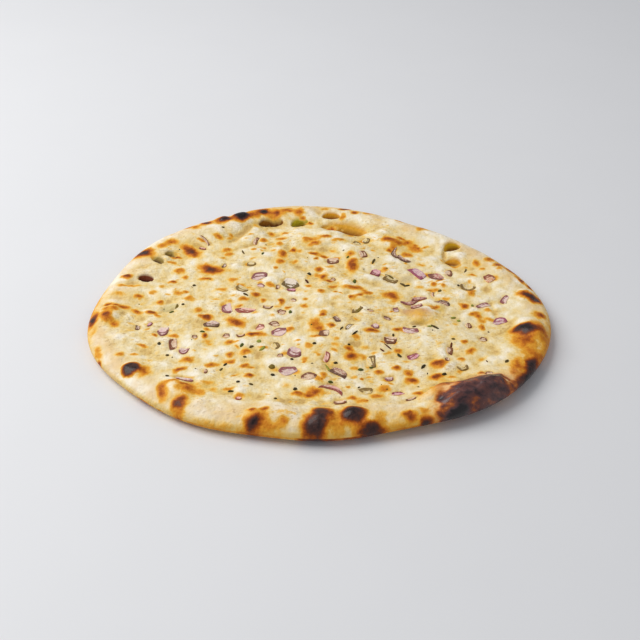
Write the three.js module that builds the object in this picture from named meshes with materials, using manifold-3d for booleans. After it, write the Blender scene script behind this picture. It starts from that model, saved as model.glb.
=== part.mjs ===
// Onion kulcha: an oval oven-baked flatbread with chopped red onion pressed into its top.
// Lengths are in millimetres and angles in degrees. +X runs along the bread, +Y across it and +Z up.
// The flat underside rests on z = 0 and the origin is the middle of the bread.
import * as THREE from 'three';
import { mergeVertices } from 'three/addons/utils/BufferGeometryUtils.js';
import Module from 'manifold-3d';

// Driving dimensions
const LENGTH = 228;
const WIDTH = 181.5;
const DOUGH_THICKNESS = 7;
const RIM_HEIGHT = 9;
const RIM_BREADTH = 24;
const CREST_SHARE = 0.38;
const EDGE_HEIGHT = 3.8;
const UNDERCUT = 6;
const LIFT_REACH = 34;

// Fineness of the surface. Rings run from the middle out to the rim, each with a few more points
// than the last. The rest follow the rounded edge and the underside at distances in from the edge.
const RINGS = 27;
const POINTS_PER_RING = 6;
const RIM_POINTS = POINTS_PER_RING * RINGS;
const RIM_INSET = 3;
const TOP_EDGE_INSETS = [1.2, 0.25];
const UNDER_EDGE_INSETS = [0.9, 2.8];
const UNDERSIDE_RINGS = [
  { inset: UNDERCUT, count: 81 },
  { inset: 14, count: 60 },
  { inset: 24, count: 48 },
  { inset: LIFT_REACH + 1, count: 36 },
  { inset: 68, count: 12 },
];

// Waves round the bread: how many to a turn, how high, and where they start
const OUTLINE_RADIUS = 99.9;
const OUTLINE_WAVES = [
  { count: 1, height: 3.75, phase: 111 },
  { count: 2, height: 11.9, phase: 11 },
  { count: 3, height: 3.3, phase: 73 },
  { count: 4, height: 1.8, phase: 9 },
  { count: 5, height: 0.1, phase: -6 },
  { count: 6, height: 0.6, phase: -136 },
  { count: 7, height: 0.4, phase: 41 },
  { count: 8, height: 0.5, phase: -81 },
  { count: 9, height: 0.6, phase: 72 },
];
const RIM_HEIGHT_WAVES = [
  { count: 2, height: 0.4, phase: 150 },
  { count: 3, height: 0.7, phase: -40 },
  { count: 5, height: 0.5, phase: 100 },
  { count: 8, height: 0.35, phase: 20 },
];
const RIM_BREADTH_WAVES = [
  { count: 2, height: 2, phase: 30 },
  { count: 5, height: 1.5, phase: -60 },
];

// Where the rim curls up off the surface that the bread lies on
const CURLS = [
  { angle: -42, spread: 30, rise: 3.4 },
  { angle: -100, spread: 25, rise: 0.6 },
  { angle: 160, spread: 30, rise: 1.2 },
  { angle: 60, spread: 25, rise: 1 },
];

// Swellings and hollows of the top. A full one has steeper sides and a flatter crown.
const BLISTERS = [
  { x: 70, y: -68, long: 21, wide: 10, turn: 26, rise: 5.4, full: 3 },
  { x: 50, y: -69, long: 11, wide: 5, turn: 42, rise: 1.8, full: 2 },
  { x: 1, y: -84, long: 10, wide: 6.5, turn: 85, rise: 1.4, full: 3 },
  { x: 15.4, y: -80, long: 6.5, wide: 5.5, turn: 0, rise: 1.8, full: 3 },
  { x: 23, y: -85, long: 6, wide: 5, turn: 20, rise: 1.2, full: 3 },
  { x: -29, y: -82, long: 6, wide: 5.5, turn: 0, rise: 1.2, full: 3 },
  { x: -63, y: -63.5, long: 9, wide: 6.5, turn: -50, rise: 1.8, full: 3 },
  { x: -86, y: -50, long: 6.5, wide: 6, turn: 0, rise: 1.6, full: 3 },
  { x: -104, y: -11, long: 9, wide: 7.5, turn: 80, rise: 1.8, full: 3 },
  { x: 102, y: -24, long: 11, wide: 8.5, turn: -40, rise: 2.2, full: 3 },
  { x: 104, y: 3, long: 7, wide: 5.5, turn: 60, rise: 1.4, full: 3 },
  { x: -45, y: 73, long: 6, wide: 5, turn: 20, rise: 1.4, full: 3 },
  { x: -55, y: 70, long: 5, wide: 4, turn: 20, rise: 0.9, full: 3 },
];
const DIMPLES = [
  { x: 67, y: 41, long: 1.8, wide: 8, turn: -6, rise: -1.3, full: 2 },
  { x: 77, y: 13, long: 5, wide: 5, turn: 0, rise: -1.4, full: 2 },
  { x: -99, y: 13.5, long: 10, wide: 2.6, turn: 8, rise: -0.8, full: 2 },
  { x: -103, y: 2, long: 8, wide: 2.4, turn: 0, rise: -0.7, full: 2 },
  { x: 40, y: 19, long: 15, wide: 9, turn: 10, rise: -1.1, full: 2 },
  { x: -44, y: 58, long: 13, wide: 4, turn: 50, rise: -1.3, full: 2 },
  { x: -26, y: 60, long: 6, wide: 3.4, turn: 10, rise: -0.9, full: 2 },
  { x: -38, y: 66, long: 8, wide: 4, turn: 20, rise: -0.9, full: 2 },
  { x: 20, y: 69, long: 9, wide: 4, turn: -20, rise: -0.8, full: 2 },
];
const MOUNDS = [
  { x: -3, y: 56, long: 22, wide: 11, turn: 0, rise: 1.8, full: 3 },
  { x: -40, y: 61, long: 16, wide: 10, turn: -35, rise: 1.4, full: 3 },
  { x: 36, y: 55, long: 14, wide: 9, turn: -30, rise: 1.6, full: 3 },
  { x: 33, y: 39, long: 12, wide: 9, turn: 0, rise: 1, full: 2 },
  { x: 52, y: -9, long: 9, wide: 7, turn: 0, rise: 1.8, full: 3 },
  { x: 75, y: 39.5, long: 6, wide: 3, turn: 0, rise: 1, full: 2 },
  { x: 56, y: -66, long: 10, wide: 6, turn: 24, rise: 3, full: 2 },
];
const FORMS = [...BLISTERS, ...DIMPLES, ...MOUNDS];

// Folds where the puffed dough has tucked under itself. Each drops steeply at its front lip and
// fades to the back, as far back as its own factor says.
const FOLDS = [
  { x: -27.2, y: 69.8, long: 7, wide: 3.2, turn: 12, depth: 3.6, back: 1.8 },
  { x: -11.2, y: 70, long: 5, wide: 3.2, turn: 20, depth: 3.2, back: 2 },
  { x: 6.6, y: 76, long: 5.2, wide: 2.6, turn: 2, depth: 2.2, back: 2.2 },
  { x: 13.5, y: 64.2, long: 13, wide: 4.4, turn: -12, depth: 3.6, back: 2.2 },
  { x: 71.8, y: 45.6, long: 4.6, wide: 3.2, turn: 18, depth: 2, back: 2 },
  { x: 71, y: 33.8, long: 4.4, wide: 2.6, turn: -24, depth: 1.7, back: 2.2 },
  { x: -90.2, y: 19, long: 4.1, wide: 3.3, turn: -2, depth: 3, back: 1.3 },
  { x: -79.6, y: 40, long: 3.6, wide: 2.6, turn: -8, depth: 2.2, back: 1.6 },
  { x: -86.2, y: 34.4, long: 4, wide: 2.4, turn: -34, depth: 2, back: 1.6 },
  { x: -74.6, y: -4, long: 4.6, wide: 3.6, turn: 30, depth: 1.8, back: 1.4 },
];
const FOLD_LIP = 0.3;
const FOLD_FADE = 1.5;
const FOLD_SCALE = 1.7;
const FOLD_THINNEST = 1e-9;

// The gentle bumps and dimples that cover the whole top, placed by a seeded draw
const BUMP_SEED = 11;
const BUMP_COUNT = 90;
const BUMP_SPREAD = 0.93;
const BUMP_DIMPLES = 0.8;
const BUMP_SMALLEST = 5;
const BUMP_LARGEST = 13;
const BUMP_RISE = 1.2;

// The larger pieces of onion, each by its place, size and turn
const ONIONS = [
  { x: 7, y: 35.5, length: 8, width: 5, turn: 0 },
  { x: 23.5, y: 40, length: 7, width: 3.5, turn: 100 },
  { x: 29.5, y: 25.5, length: 6, width: 5, turn: -20 },
  { x: -31.5, y: 22, length: 8, width: 7, turn: 20 },
  { x: 39.8, y: 41, length: 9, width: 2.6, turn: -78 },
  { x: 43.6, y: 36.6, length: 10, width: 3, turn: -52 },
  { x: -35, y: 53, length: 6, width: 2.5, turn: 75 },
  { x: 51, y: 25.4, length: 11, width: 5, turn: -50 },
  { x: 61.3, y: 22.3, length: 8, width: 5, turn: -35 },
  { x: 67.9, y: 25.3, length: 5, width: 4, turn: 90 },
  { x: 50, y: 4, length: 8, width: 3.4, turn: 10 },
  { x: 46.5, y: 0.4, length: 9, width: 3.4, turn: 25 },
  { x: 48.5, y: -3.6, length: 7, width: 3.4, turn: 15 },
  { x: 62.5, y: 0.4, length: 8.5, width: 3, turn: -28 },
  { x: 93, y: 1, length: 6, width: 3, turn: 60 },
  { x: 87.8, y: 17.7, length: 6, width: 6, turn: 0 },
  { x: 82, y: -2.8, length: 6.5, width: 3, turn: 15 },
  { x: 88.2, y: -15, length: 6.5, width: 4.5, turn: 10 },
  { x: 61.5, y: -37, length: 6, width: 3, turn: 80 },
  { x: 44, y: -40.5, length: 6, width: 4, turn: 25 },
  { x: 43.5, y: -21.5, length: 8, width: 4, turn: -20 },
  { x: 66, y: -49, length: 5, width: 4, turn: 0 },
  { x: 34, y: -28.5, length: 6, width: 5, turn: 0 },
  { x: 27.5, y: -19, length: 4, width: 4, turn: 0 },
  { x: 8.5, y: -14, length: 6, width: 3, turn: -70 },
  { x: 2.5, y: -25, length: 6, width: 5, turn: 80 },
  { x: 24, y: -43.5, length: 8, width: 4, turn: 90 },
  { x: 3.5, y: -40.5, length: 6, width: 3, turn: 80 },
  { x: -12, y: -37.5, length: 6.5, width: 6.5, turn: 0 },
  { x: -15, y: -50, length: 8.5, width: 7, turn: 10 },
  { x: -5, y: -54.5, length: 7, width: 6, turn: 0 },
  { x: 9, y: -51, length: 10, width: 5, turn: -40 },
  { x: 5.5, y: -61, length: 11, width: 3, turn: -17 },
  { x: 21, y: -63.5, length: 6.5, width: 4, turn: 0 },
  { x: 8.5, y: -71.5, length: 5.5, width: 3.5, turn: 0 },
  { x: 35, y: -65, length: 5, width: 2.5, turn: 10 },
  { x: -21, y: -32.5, length: 5, width: 4.5, turn: 90 },
  { x: -20, y: -23, length: 7.5, width: 5, turn: 15 },
  { x: -29, y: -19, length: 4, width: 4, turn: 0 },
  { x: -22, y: -17, length: 5.5, width: 4, turn: 0 },
  { x: -19, y: -8, length: 4, width: 4, turn: 0 },
  { x: -37, y: -6.5, length: 9.5, width: 4, turn: -5 },
  { x: -14.5, y: 11.5, length: 5, width: 3, turn: -10 },
  { x: -15, y: 16.5, length: 9, width: 7, turn: 0 },
  { x: -46.5, y: -5, length: 7.5, width: 5.5, turn: 100 },
  { x: -53, y: -16, length: 9, width: 5, turn: -15 },
  { x: -64.5, y: -36.5, length: 5, width: 4, turn: 0 },
  { x: -70, y: -32, length: 8, width: 4, turn: 100 },
  { x: -76, y: -22.5, length: 6, width: 5, turn: 0 },
  { x: -36.5, y: 32.5, length: 5, width: 4, turn: 0 },
  { x: 20.5, y: 51, length: 4, width: 4, turn: 0 },
  { x: 25.5, y: 54, length: 5, width: 4, turn: 40 },
  { x: -40, y: 10.5, length: 6, width: 4.5, turn: -40 },
  { x: 37, y: 21.5, length: 8, width: 6, turn: -30 },
  { x: 18.5, y: -6, length: 6, width: 4, turn: 40 },
  { x: 14, y: -21, length: 5, width: 2.5, turn: 60 },
];
const ONION_SEED = 7;
const ONION_CORNERS = 8;
const ONION_UNEVENNESS = 0.14;
const ONION_PROUD = 0.8;
const ONION_SHOULDER = 0.36;
const ONION_SUNK = 1.6;
const ONION_FACE_SHARE = 0.74;
const ONION_WELD = 0.001;

const { clamp, degToRad, euclideanModulo, radToDeg, smoothstep } = THREE.MathUtils;

// A repeatable row of numbers between 0 and 1
function draws(seed) {
  let state = seed;
  return () => {
    state = (Math.imul(state, 1664525) + 1013904223) >>> 0;
    return state / 4294967296;
  };
}

function waves(angle, list) {
  let sum = 0;
  for (const wave of list) {
    sum += wave.height * Math.cos(wave.count * angle + degToRad(wave.phase));
  }
  return sum;
}

// The outline, sampled by angle, centred on the origin and stretched to the length and width
const OUTLINE_STEPS = 1440;
const OUTLINE_SEARCH = 12;
function sampledOutline() {
  const points = [];
  const box = new THREE.Box2();
  for (let step = 0; step < OUTLINE_STEPS; step += 1) {
    const angle = (2 * Math.PI * step) / OUTLINE_STEPS;
    const radius = OUTLINE_RADIUS + waves(angle, OUTLINE_WAVES);
    const point = new THREE.Vector2(radius * Math.cos(angle), radius * Math.sin(angle));
    points.push(point);
    box.expandByPoint(point);
  }
  const middle = box.getCenter(new THREE.Vector2());
  const size = box.getSize(new THREE.Vector2());
  const stretch = new THREE.Vector2(LENGTH / size.x, WIDTH / size.y);
  return points.map((point) => point.sub(middle).multiply(stretch));
}
const OUTLINE = sampledOutline();

// How far out the edge lies in a direction: the crossing of the ray with the sampled outline
function outlineRadius(angle) {
  const direction = new THREE.Vector2(Math.cos(angle), Math.sin(angle));
  const guess = Math.round((angle / (2 * Math.PI)) * OUTLINE_STEPS);
  for (let step = guess - OUTLINE_SEARCH; step < guess + OUTLINE_SEARCH; step += 1) {
    const from = OUTLINE[(step + OUTLINE_STEPS) % OUTLINE_STEPS];
    const to = OUTLINE[(step + 1 + OUTLINE_STEPS) % OUTLINE_STEPS];
    const before = direction.cross(from);
    const after = direction.cross(to);
    if (before <= 0 && after > 0) {
      const share = before / (before - after);
      return from.clone().lerp(to, share).dot(direction);
    }
  }
  throw new Error(`no edge at angle ${angle}`);
}

// The rim's curl at an angle, at a distance in from the edge
function curl(angle, inward) {
  const fade = smoothstep(1 - inward / LIFT_REACH, 0, 1);
  let rise = 0;
  for (const place of CURLS) {
    const away = euclideanModulo(radToDeg(angle) - place.angle + 180, 360) - 180;
    rise += place.rise * Math.exp(-((away / place.spread) ** 2));
  }
  return rise * fade;
}

// Where a point lies on the turned axes of a form, in shares of its half length and half width
function placeOn(form, x, y) {
  const cos = Math.cos(degToRad(form.turn));
  const sin = Math.sin(degToRad(form.turn));
  const along = ((x - form.x) * cos + (y - form.y) * sin) / form.long;
  const across = ((y - form.y) * cos - (x - form.x) * sin) / form.wide;
  return { along, across };
}

// A swelling that is highest at its middle and dies out at the border of its ellipse
function swelling(form, x, y) {
  const { along, across } = placeOn(form, x, y);
  const out = Math.min(Math.hypot(along, across), 1);
  return form.rise * (1 - out ** form.full) ** 2;
}

function foldDepth(fold, x, y) {
  const { along, across } = placeOn(fold, x, y);
  const chord = Math.sqrt(Math.max(1 - clamp(along, -1, 1) ** 2, FOLD_THINNEST));
  const behind = clamp((across + chord) / ((1 + fold.back) * chord), 0, 1);
  const lip = smoothstep(behind / FOLD_LIP, 0, 1);
  return fold.depth * FOLD_SCALE * Math.sqrt(chord) * lip * (1 - behind) ** FOLD_FADE;
}

function seededBumps() {
  const next = draws(BUMP_SEED);
  const bumps = [];
  for (let index = 0; index < BUMP_COUNT; index += 1) {
    const angle = 2 * Math.PI * next();
    const radius = BUMP_SPREAD * Math.sqrt(next()) * outlineRadius(angle);
    const size = BUMP_SMALLEST + (BUMP_LARGEST - BUMP_SMALLEST) * next();
    const rise = BUMP_RISE * (2 * next() - BUMP_DIMPLES);
    bumps.push({ x: radius * Math.cos(angle), y: radius * Math.sin(angle), size, rise });
  }
  return bumps;
}
const BUMPS = seededBumps();

// Height of the top at a point
function topHeight(x, y) {
  const angle = Math.atan2(y, x);
  const inward = Math.max(outlineRadius(angle) - Math.hypot(x, y), 0);
  const crest = RIM_HEIGHT + waves(angle, RIM_HEIGHT_WAVES);
  const breadth = RIM_BREADTH + waves(angle, RIM_BREADTH_WAVES);
  const crestInward = CREST_SHARE * breadth;
  let height = 0;
  if (inward < crestInward) {
    const toCrest = 1 - inward / crestInward;
    height = EDGE_HEIGHT + (crest - EDGE_HEIGHT) * Math.sqrt(1 - toCrest ** 2);
  } else {
    const down = clamp((inward - crestInward) / (breadth - crestInward), 0, 1);
    height = DOUGH_THICKNESS + (crest - DOUGH_THICKNESS) * (0.5 + 0.5 * Math.cos(Math.PI * down));
  }
  let relief = 0;
  for (const form of FORMS) {
    relief += swelling(form, x, y);
  }
  for (const fold of FOLDS) {
    relief -= foldDepth(fold, x, y);
  }
  for (const bump of BUMPS) {
    relief += bump.rise * Math.exp(-((x - bump.x) ** 2 + (y - bump.y) ** 2) / bump.size ** 2);
  }
  const held = 1 - (1 - clamp(inward / UNDERCUT, 0, 1)) ** 2;
  return height + relief * held + curl(angle, inward);
}

// Height of the underside: flat in the middle and rounded up to the edge
function undersideHeight(x, y) {
  const angle = Math.atan2(y, x);
  const inward = Math.max(outlineRadius(angle) - Math.hypot(x, y), 0);
  const toEdge = 1 - clamp(inward / UNDERCUT, 0, 1);
  return EDGE_HEIGHT * (1 - Math.sqrt(1 - toEdge ** 2)) + curl(angle, inward);
}

// Joins two rings of points with triangles that keep the faces outwards, whatever their counts
function stitch(faces, inner, outer, upward) {
  let inside = 0;
  let outside = 0;
  while (inside < inner.length || outside < outer.length) {
    const a = inner[inside % inner.length];
    const b = outer[outside % outer.length];
    const nextInside = (inside + 1) / inner.length;
    const nextOutside = (outside + 1) / outer.length;
    let face;
    if (outside < outer.length && (nextOutside <= nextInside || inside >= inner.length)) {
      face = [a, b, outer[(outside + 1) % outer.length]];
      outside += 1;
    } else {
      face = [a, b, inner[(inside + 1) % inner.length]];
      inside += 1;
    }
    faces.push(...(upward ? face : [face[0], face[2], face[1]]));
  }
}

// The bread as one closed surface: rings over the top, round the edge and under the bottom
function breadGeometry() {
  const points = [];
  const faces = [];
  const addRing = (count, share, inset, height) => {
    const ring = [];
    for (let index = 0; index < count; index += 1) {
      const angle = (2 * Math.PI * index) / count;
      const radius = share * (outlineRadius(angle) - inset);
      const x = radius * Math.cos(angle);
      const y = radius * Math.sin(angle);
      ring.push(points.length / 3);
      points.push(x, y, height(x, y));
    }
    return ring;
  };
  const topRings = [addRing(1, 0, 0, topHeight)];
  for (let index = 1; index <= RINGS; index += 1) {
    topRings.push(addRing(POINTS_PER_RING * index, index / RINGS, RIM_INSET, topHeight));
  }
  for (const inset of TOP_EDGE_INSETS) {
    topRings.push(addRing(RIM_POINTS, 1, inset, topHeight));
  }
  const edge = addRing(RIM_POINTS, 1, 0, undersideHeight);
  topRings.push(edge);
  for (let index = 0; index + 1 < topRings.length; index += 1) {
    stitch(faces, topRings[index], topRings[index + 1], true);
  }
  const undersideRings = [edge];
  for (const inset of UNDER_EDGE_INSETS) {
    undersideRings.push(addRing(RIM_POINTS, 1, inset, undersideHeight));
  }
  for (const { inset, count } of UNDERSIDE_RINGS) {
    undersideRings.push(addRing(count, 1, inset, undersideHeight));
  }
  undersideRings.push(addRing(1, 0, 0, undersideHeight));
  for (let index = 0; index + 1 < undersideRings.length; index += 1) {
    stitch(faces, undersideRings[index + 1], undersideRings[index], false);
  }
  const geometry = new THREE.BufferGeometry();
  geometry.setAttribute('position', new THREE.Float32BufferAttribute(points, 3));
  geometry.setIndex(faces);
  return geometry;
}

// A chopped piece of onion: an uneven slab with rounded edges that follows the dough under it
function onionGeometry(onion, next) {
  const slab = new THREE.CylinderGeometry(1, 1, 2, ONION_CORNERS, 2);
  slab.deleteAttribute('normal');
  slab.deleteAttribute('uv');
  slab.rotateX(Math.PI / 2);
  const geometry = mergeVertices(slab, ONION_WELD);
  const corners = [];
  for (let index = 0; index < ONION_CORNERS; index += 1) {
    corners.push(1 - ONION_UNEVENNESS * next());
  }
  const position = geometry.getAttribute('position');
  const cos = Math.cos(degToRad(onion.turn));
  const sin = Math.sin(degToRad(onion.turn));
  for (let index = 0; index < position.count; index += 1) {
    const level = Math.round(position.getZ(index));
    const angle = Math.atan2(position.getY(index), position.getX(index));
    const corner = Math.round((angle / (2 * Math.PI)) * ONION_CORNERS + ONION_CORNERS) % ONION_CORNERS;
    const shrink = corners[corner] * (level === 0 ? 1 : ONION_FACE_SHARE);
    const along = 0.5 * onion.length * position.getX(index) * shrink;
    const across = 0.5 * onion.width * position.getY(index) * shrink;
    const x = onion.x + along * cos - across * sin;
    const y = onion.y + along * sin + across * cos;
    const offset = [-ONION_SUNK, ONION_SHOULDER, ONION_PROUD][level + 1];
    position.setXYZ(index, x, y, topHeight(x, y) + offset);
  }
  return geometry;
}

const wasm = await Module();
wasm.setup();

function solidFrom(geometry) {
  const mesh = new wasm.Mesh({
    numProp: 3,
    vertProperties: Float32Array.from(geometry.getAttribute('position').array),
    triVerts: Uint32Array.from(geometry.getIndex().array),
  });
  return new wasm.Manifold(mesh);
}

function geometryFrom(solid) {
  const mesh = solid.getMesh();
  const geometry = new THREE.BufferGeometry();
  geometry.setAttribute('position', new THREE.BufferAttribute(mesh.vertProperties, 3));
  geometry.setIndex(new THREE.BufferAttribute(mesh.triVerts, 1));
  geometry.computeVertexNormals();
  return geometry;
}

function fusedKulcha() {
  const next = draws(ONION_SEED);
  let solid = solidFrom(breadGeometry());
  for (const onion of ONIONS) {
    solid = solid.add(solidFrom(onionGeometry(onion, next)));
  }
  return geometryFrom(solid);
}

const breadMaterial = new THREE.MeshStandardMaterial({ color: 0xe6cf9c, roughness: 0.62, metalness: 0 });

const bread = new THREE.Mesh(fusedKulcha(), breadMaterial);
bread.name = 'kulcha_bread';

const kulcha = new THREE.Group();
kulcha.add(bread);

export default kulcha;
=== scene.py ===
import math

import bpy
import numpy as np
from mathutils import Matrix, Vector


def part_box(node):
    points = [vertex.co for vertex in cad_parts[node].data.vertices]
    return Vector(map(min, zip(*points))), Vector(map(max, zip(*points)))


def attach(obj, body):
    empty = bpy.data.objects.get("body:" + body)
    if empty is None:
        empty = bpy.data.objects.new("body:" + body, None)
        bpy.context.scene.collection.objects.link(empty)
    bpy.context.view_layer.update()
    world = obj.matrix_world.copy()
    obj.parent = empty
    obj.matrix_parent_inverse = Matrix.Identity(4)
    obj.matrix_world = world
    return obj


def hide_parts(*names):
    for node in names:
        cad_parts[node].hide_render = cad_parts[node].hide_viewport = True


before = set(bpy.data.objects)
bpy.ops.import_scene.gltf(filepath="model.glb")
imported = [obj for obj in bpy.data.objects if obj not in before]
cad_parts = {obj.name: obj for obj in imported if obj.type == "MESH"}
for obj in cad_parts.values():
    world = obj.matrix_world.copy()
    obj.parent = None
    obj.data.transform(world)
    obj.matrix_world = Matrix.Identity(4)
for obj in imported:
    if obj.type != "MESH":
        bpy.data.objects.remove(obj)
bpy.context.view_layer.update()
BREAD_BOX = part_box("kulcha_bread")

bl_info = {
    "name": "Onion Kulcha",
    "version": (1, 0, 0),
    "blender": (4, 5, 0),
    "location": "3D View > Sidebar > Kulcha",
    "description": "Bakes an onion kulcha: puffed dough, charred blisters, red onion and herbs",
    "category": "Object",
}

MM = 0.001
NODE = "kulcha_bread"

# Waves round the bread: how many to a turn, how high, and where they start in degrees
OUTLINE_RADIUS = 99.9
OUTLINE_WAVES = (
    (1, 3.75, 111), (2, 11.9, 11), (3, 3.3, 73), (4, 1.8, 9), (5, 0.1, -6), (6, 0.6, -136), (7, 0.4, 41),
    (8, 0.5, -81), (9, 0.6, 72),
)
RIM_HEIGHT_WAVES = ((2, 0.4, 150), (3, 0.7, -40), (5, 0.5, 100), (8, 0.35, 20))
RIM_BREADTH_WAVES = ((2, 2, 30), (5, 1.5, -60))
# Share of the rim's breadth at which its crest stands, and how far in a curl lifts the dough
CREST_SHARE = 0.38
LIFT_REACH = 34

# Where the rim curls up: angle, spread and rise
CURLS = ((-42, 30, 3.4), (-100, 25, 0.6), (160, 30, 1.2), (60, 25, 1))

# Blisters: x, y, half length, half width, turn, rise and fullness
BLISTERS = (
    (70, -68, 21, 10, 26, 5.4, 3), (50, -69, 11, 5, 42, 1.8, 2), (1, -84, 10, 6.5, 85, 1.4, 3),
    (15.4, -80, 6.5, 5.5, 0, 1.8, 3), (23, -85, 6, 5, 20, 1.2, 3), (-29, -82, 6, 5.5, 0, 1.2, 3),
    (-63, -63.5, 9, 6.5, -50, 1.8, 3), (-86, -50, 6.5, 6, 0, 1.6, 3), (-104, -11, 9, 7.5, 80, 1.8, 3),
    (102, -24, 11, 8.5, -40, 2.2, 3), (104, 3, 7, 5.5, 60, 1.4, 3), (-45, 73, 6, 5, 20, 1.4, 3),
    (-55, 70, 5, 4, 20, 0.9, 3),
)
# Folds with a steep front lip: x, y, half length, half width, turn, depth, how far back they fade, and
# tone, whose colour the crust darkens towards the lip as painted shade
FOLDS = (
    (-27.2, 69.8, 7, 3.2, 12, 3.6, 1.8, "d"), (-11.2, 70, 5, 3.2, 20, 3.2, 2, "o"),
    (6.6, 76, 5.2, 2.6, 2, 2.2, 2.2, "g"), (13.5, 64.2, 13, 4.4, -12, 3.6, 2.2, "y"),
    (71.8, 45.6, 4.6, 3.2, 18, 2, 2, "v"), (71, 33.8, 4.4, 2.6, -24, 1.7, 2.2, "g"),
    (-90.2, 19, 4.1, 3.3, -2, 3, 1.3, "m"), (-79.6, 40, 3.6, 2.6, -8, 2.2, 1.6, "k"),
    (-86.2, 34.4, 4, 2.4, -34, 2, 1.6, "k"), (-74.6, -4, 4.6, 3.6, 30, 1.8, 1.4, "e"),
)
# Share of a fold that its lip takes, how it fades, its scale, and how strongly the palest one shows
FOLD_LIP = 0.3
FOLD_FADE = 1.5
FOLD_SCALE = 1.7
FAINT_FOLD = 0.6
# Tinted patches of the top, partly painted shade under a folded flap and in shallow hollows that the form
# makes only faintly, partly a tint where onion shows through the dough: x, y, half length, half width,
# turn, how strong, and tone
TINTED_PATCHES = (
    (48.2, -9, 9.5, 4.4, -12, 0.34, "t"), (48.8, -16, 5.5, 3.2, 5, 0.3, "u"),
    (60.9, -4.4, 5, 3.4, 30, 0.24, "c"), (67.5, -7.6, 4.6, 3, 0, 0.2, "c"),
    (45.1, 20.2, 6, 3.8, 0, 0.22, "h"),
)
# Dimples and mounds, in the same order as the blisters
DIMPLES = (
    (67, 41, 1.8, 8, -6, -1.3, 2), (77, 13, 5, 5, 0, -1.4, 2), (-99, 13.5, 10, 2.6, 8, -0.8, 2),
    (-103, 2, 8, 2.4, 0, -0.7, 2), (40, 19, 15, 9, 10, -1.1, 2), (-44, 58, 13, 4, 50, -1.3, 2),
    (-26, 60, 6, 3.4, 10, -0.9, 2), (-38, 66, 8, 4, 20, -0.9, 2), (20, 69, 9, 4, -20, -0.8, 2),
)
MOUNDS = (
    (-3, 56, 22, 11, 0, 1.8, 3), (-40, 61, 16, 10, -35, 1.4, 3), (36, 55, 14, 9, -30, 1.6, 3),
    (33, 39, 12, 9, 0, 1, 2), (52, -9, 9, 7, 0, 1.8, 3), (75, 39.5, 6, 3, 0, 1, 2),
    (56, -66, 10, 6, 24, 3, 2),
)
# Fine creases and pale lumps that only the skin shows: x, y, half length, half width, turn and rise
CREASES = (
    (44, -68, 6, 1.1, 32, -0.8), (47.5, -73.3, 5, 0.9, 0, -0.7), (40, -74, 5, 1, -20, -0.5),
    (86.5, -6, 1, 9, 4, -0.7), (90, 44, 6, 1, -42, -0.4), (-60, -58, 7, 1, -20, -0.4),
    (-95, 27, 6, 1, 20, -0.5), (-40, 48, 8, 1.2, 30, -0.5), (55, 58, 8, 1.2, -25, -0.5),
)
LUMPS = (
    (69.9, 6.3, 4.5, 3.5, 0, 0.9), (17, 14, 5, 3.5, 10, 0.6), (-5, 8, 6, 4, 0, 0.5),
    (30, -2, 5, 4, 20, 0.5), (-30, -11, 5, 4, 0, 0.6), (50, -31, 6, 4, 0, 0.6), (-46, -36, 6, 4, 0, 0.5),
    (12, 46, 7, 4, 0, 0.5), (-10, 28, 6, 4, 10, 0.6), (38, -47, 5, 4, 0, 0.6), (-66, -10, 6, 4, 0, 0.5),
    (58, 36, 5, 4, 0, 0.6),
)

# Seeded bumps of the dough: seed, how many, smallest, largest and rise
BROAD_BUMPS = (11, 90, 5, 13, 1.2)
FINE_BUMPS = (23, 520, 1.8, 4.6, 0.55)
# How far out the bumps lie, as a share of the way to the edge, and how much of their draw turns to dimples
BUMP_SPREAD = 0.93
DIMPLE_SHARE = 0.8

# Uneven layers of the dough: strength, width and seed of each
SKIN_SWELLS = ((0.34, 7.5, 17), (0.2, 3.6, 1), (0.05, 1.5, 2))
MARK_SHIFTS_X = ((0.7, 3.3, 7), (0.35, 1.4, 8))
MARK_SHIFTS_Y = ((0.7, 3.3, 9), (0.35, 1.4, 10))
RIM_UNEVENNESS = ((0.5, 6, 11), (0.25, 2.2, 12))
UNDER_HOLLOWS = ((1, 9, 5), (0.5, 4, 6))
UNDER_PATCHES = ((1, 16, 13), (0.6, 7, 14))
UNDER_SPOTS = ((1, 4.5, 15),)
# Factors of the repeatable scatter that the layers are made from
COLUMN_FACTOR = 127.1
ROW_FACTOR = 311.7
SEED_FACTOR = 74.7
WILD_FACTOR = 43758.5453

# Wrinkles of the large blister: reach, slope, bends, stretch, width, seed, rise and sink
WRINKLED_REACH = 1.4
WRINKLE_SLOPE = 0.3
WRINKLE_BENDS = ((3, 11, 3),)
WRINKLE_STRETCH = 0.4
WRINKLE_WIDTH = 3.4
WRINKLE_SEED = 4
WRINKLE_RISE = 0.8
WRINKLE_SINK = 0.3
# How the raised browned spots stand up, and the seats pressed round the onion
SPOT_RISE = 0.9
SPOT_FALL = 1.2
SEAT_DEPTH = 0.6
SEAT_SHARE = 0.58
SEAT_MARGIN = 0.5
# The underside's hollows
HOLLOW_RISE = 0.25
HOLLOW_START = 0.25
# How far in the even rings of points end, and where the close rings of the edge lie, above and below
RIM_INSET = 3
TOP_INSETS = (2.3, 1.65, 1.1, 0.68, 0.36, 0.14, 0.03)
UNDER_INSETS = (0.06, 0.25, 0.6, 1.15, 1.9, 2.9, 4.2)
# Where the wide neighbourhood of a place is measured, and how strongly the skin's height over it counts
# towards painted shade in dips and painted light on lumps
SWELL_REACH = 4
SWELL_PLACES = 6
SWELL_GAIN = 0.7
# How far in the rim's tan reaches, and how the large blister's charred skin fades at its border
RIM_TONE_REACH = 20
CHAR_START = 2.2
CHAR_FALL = 1.6

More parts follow.
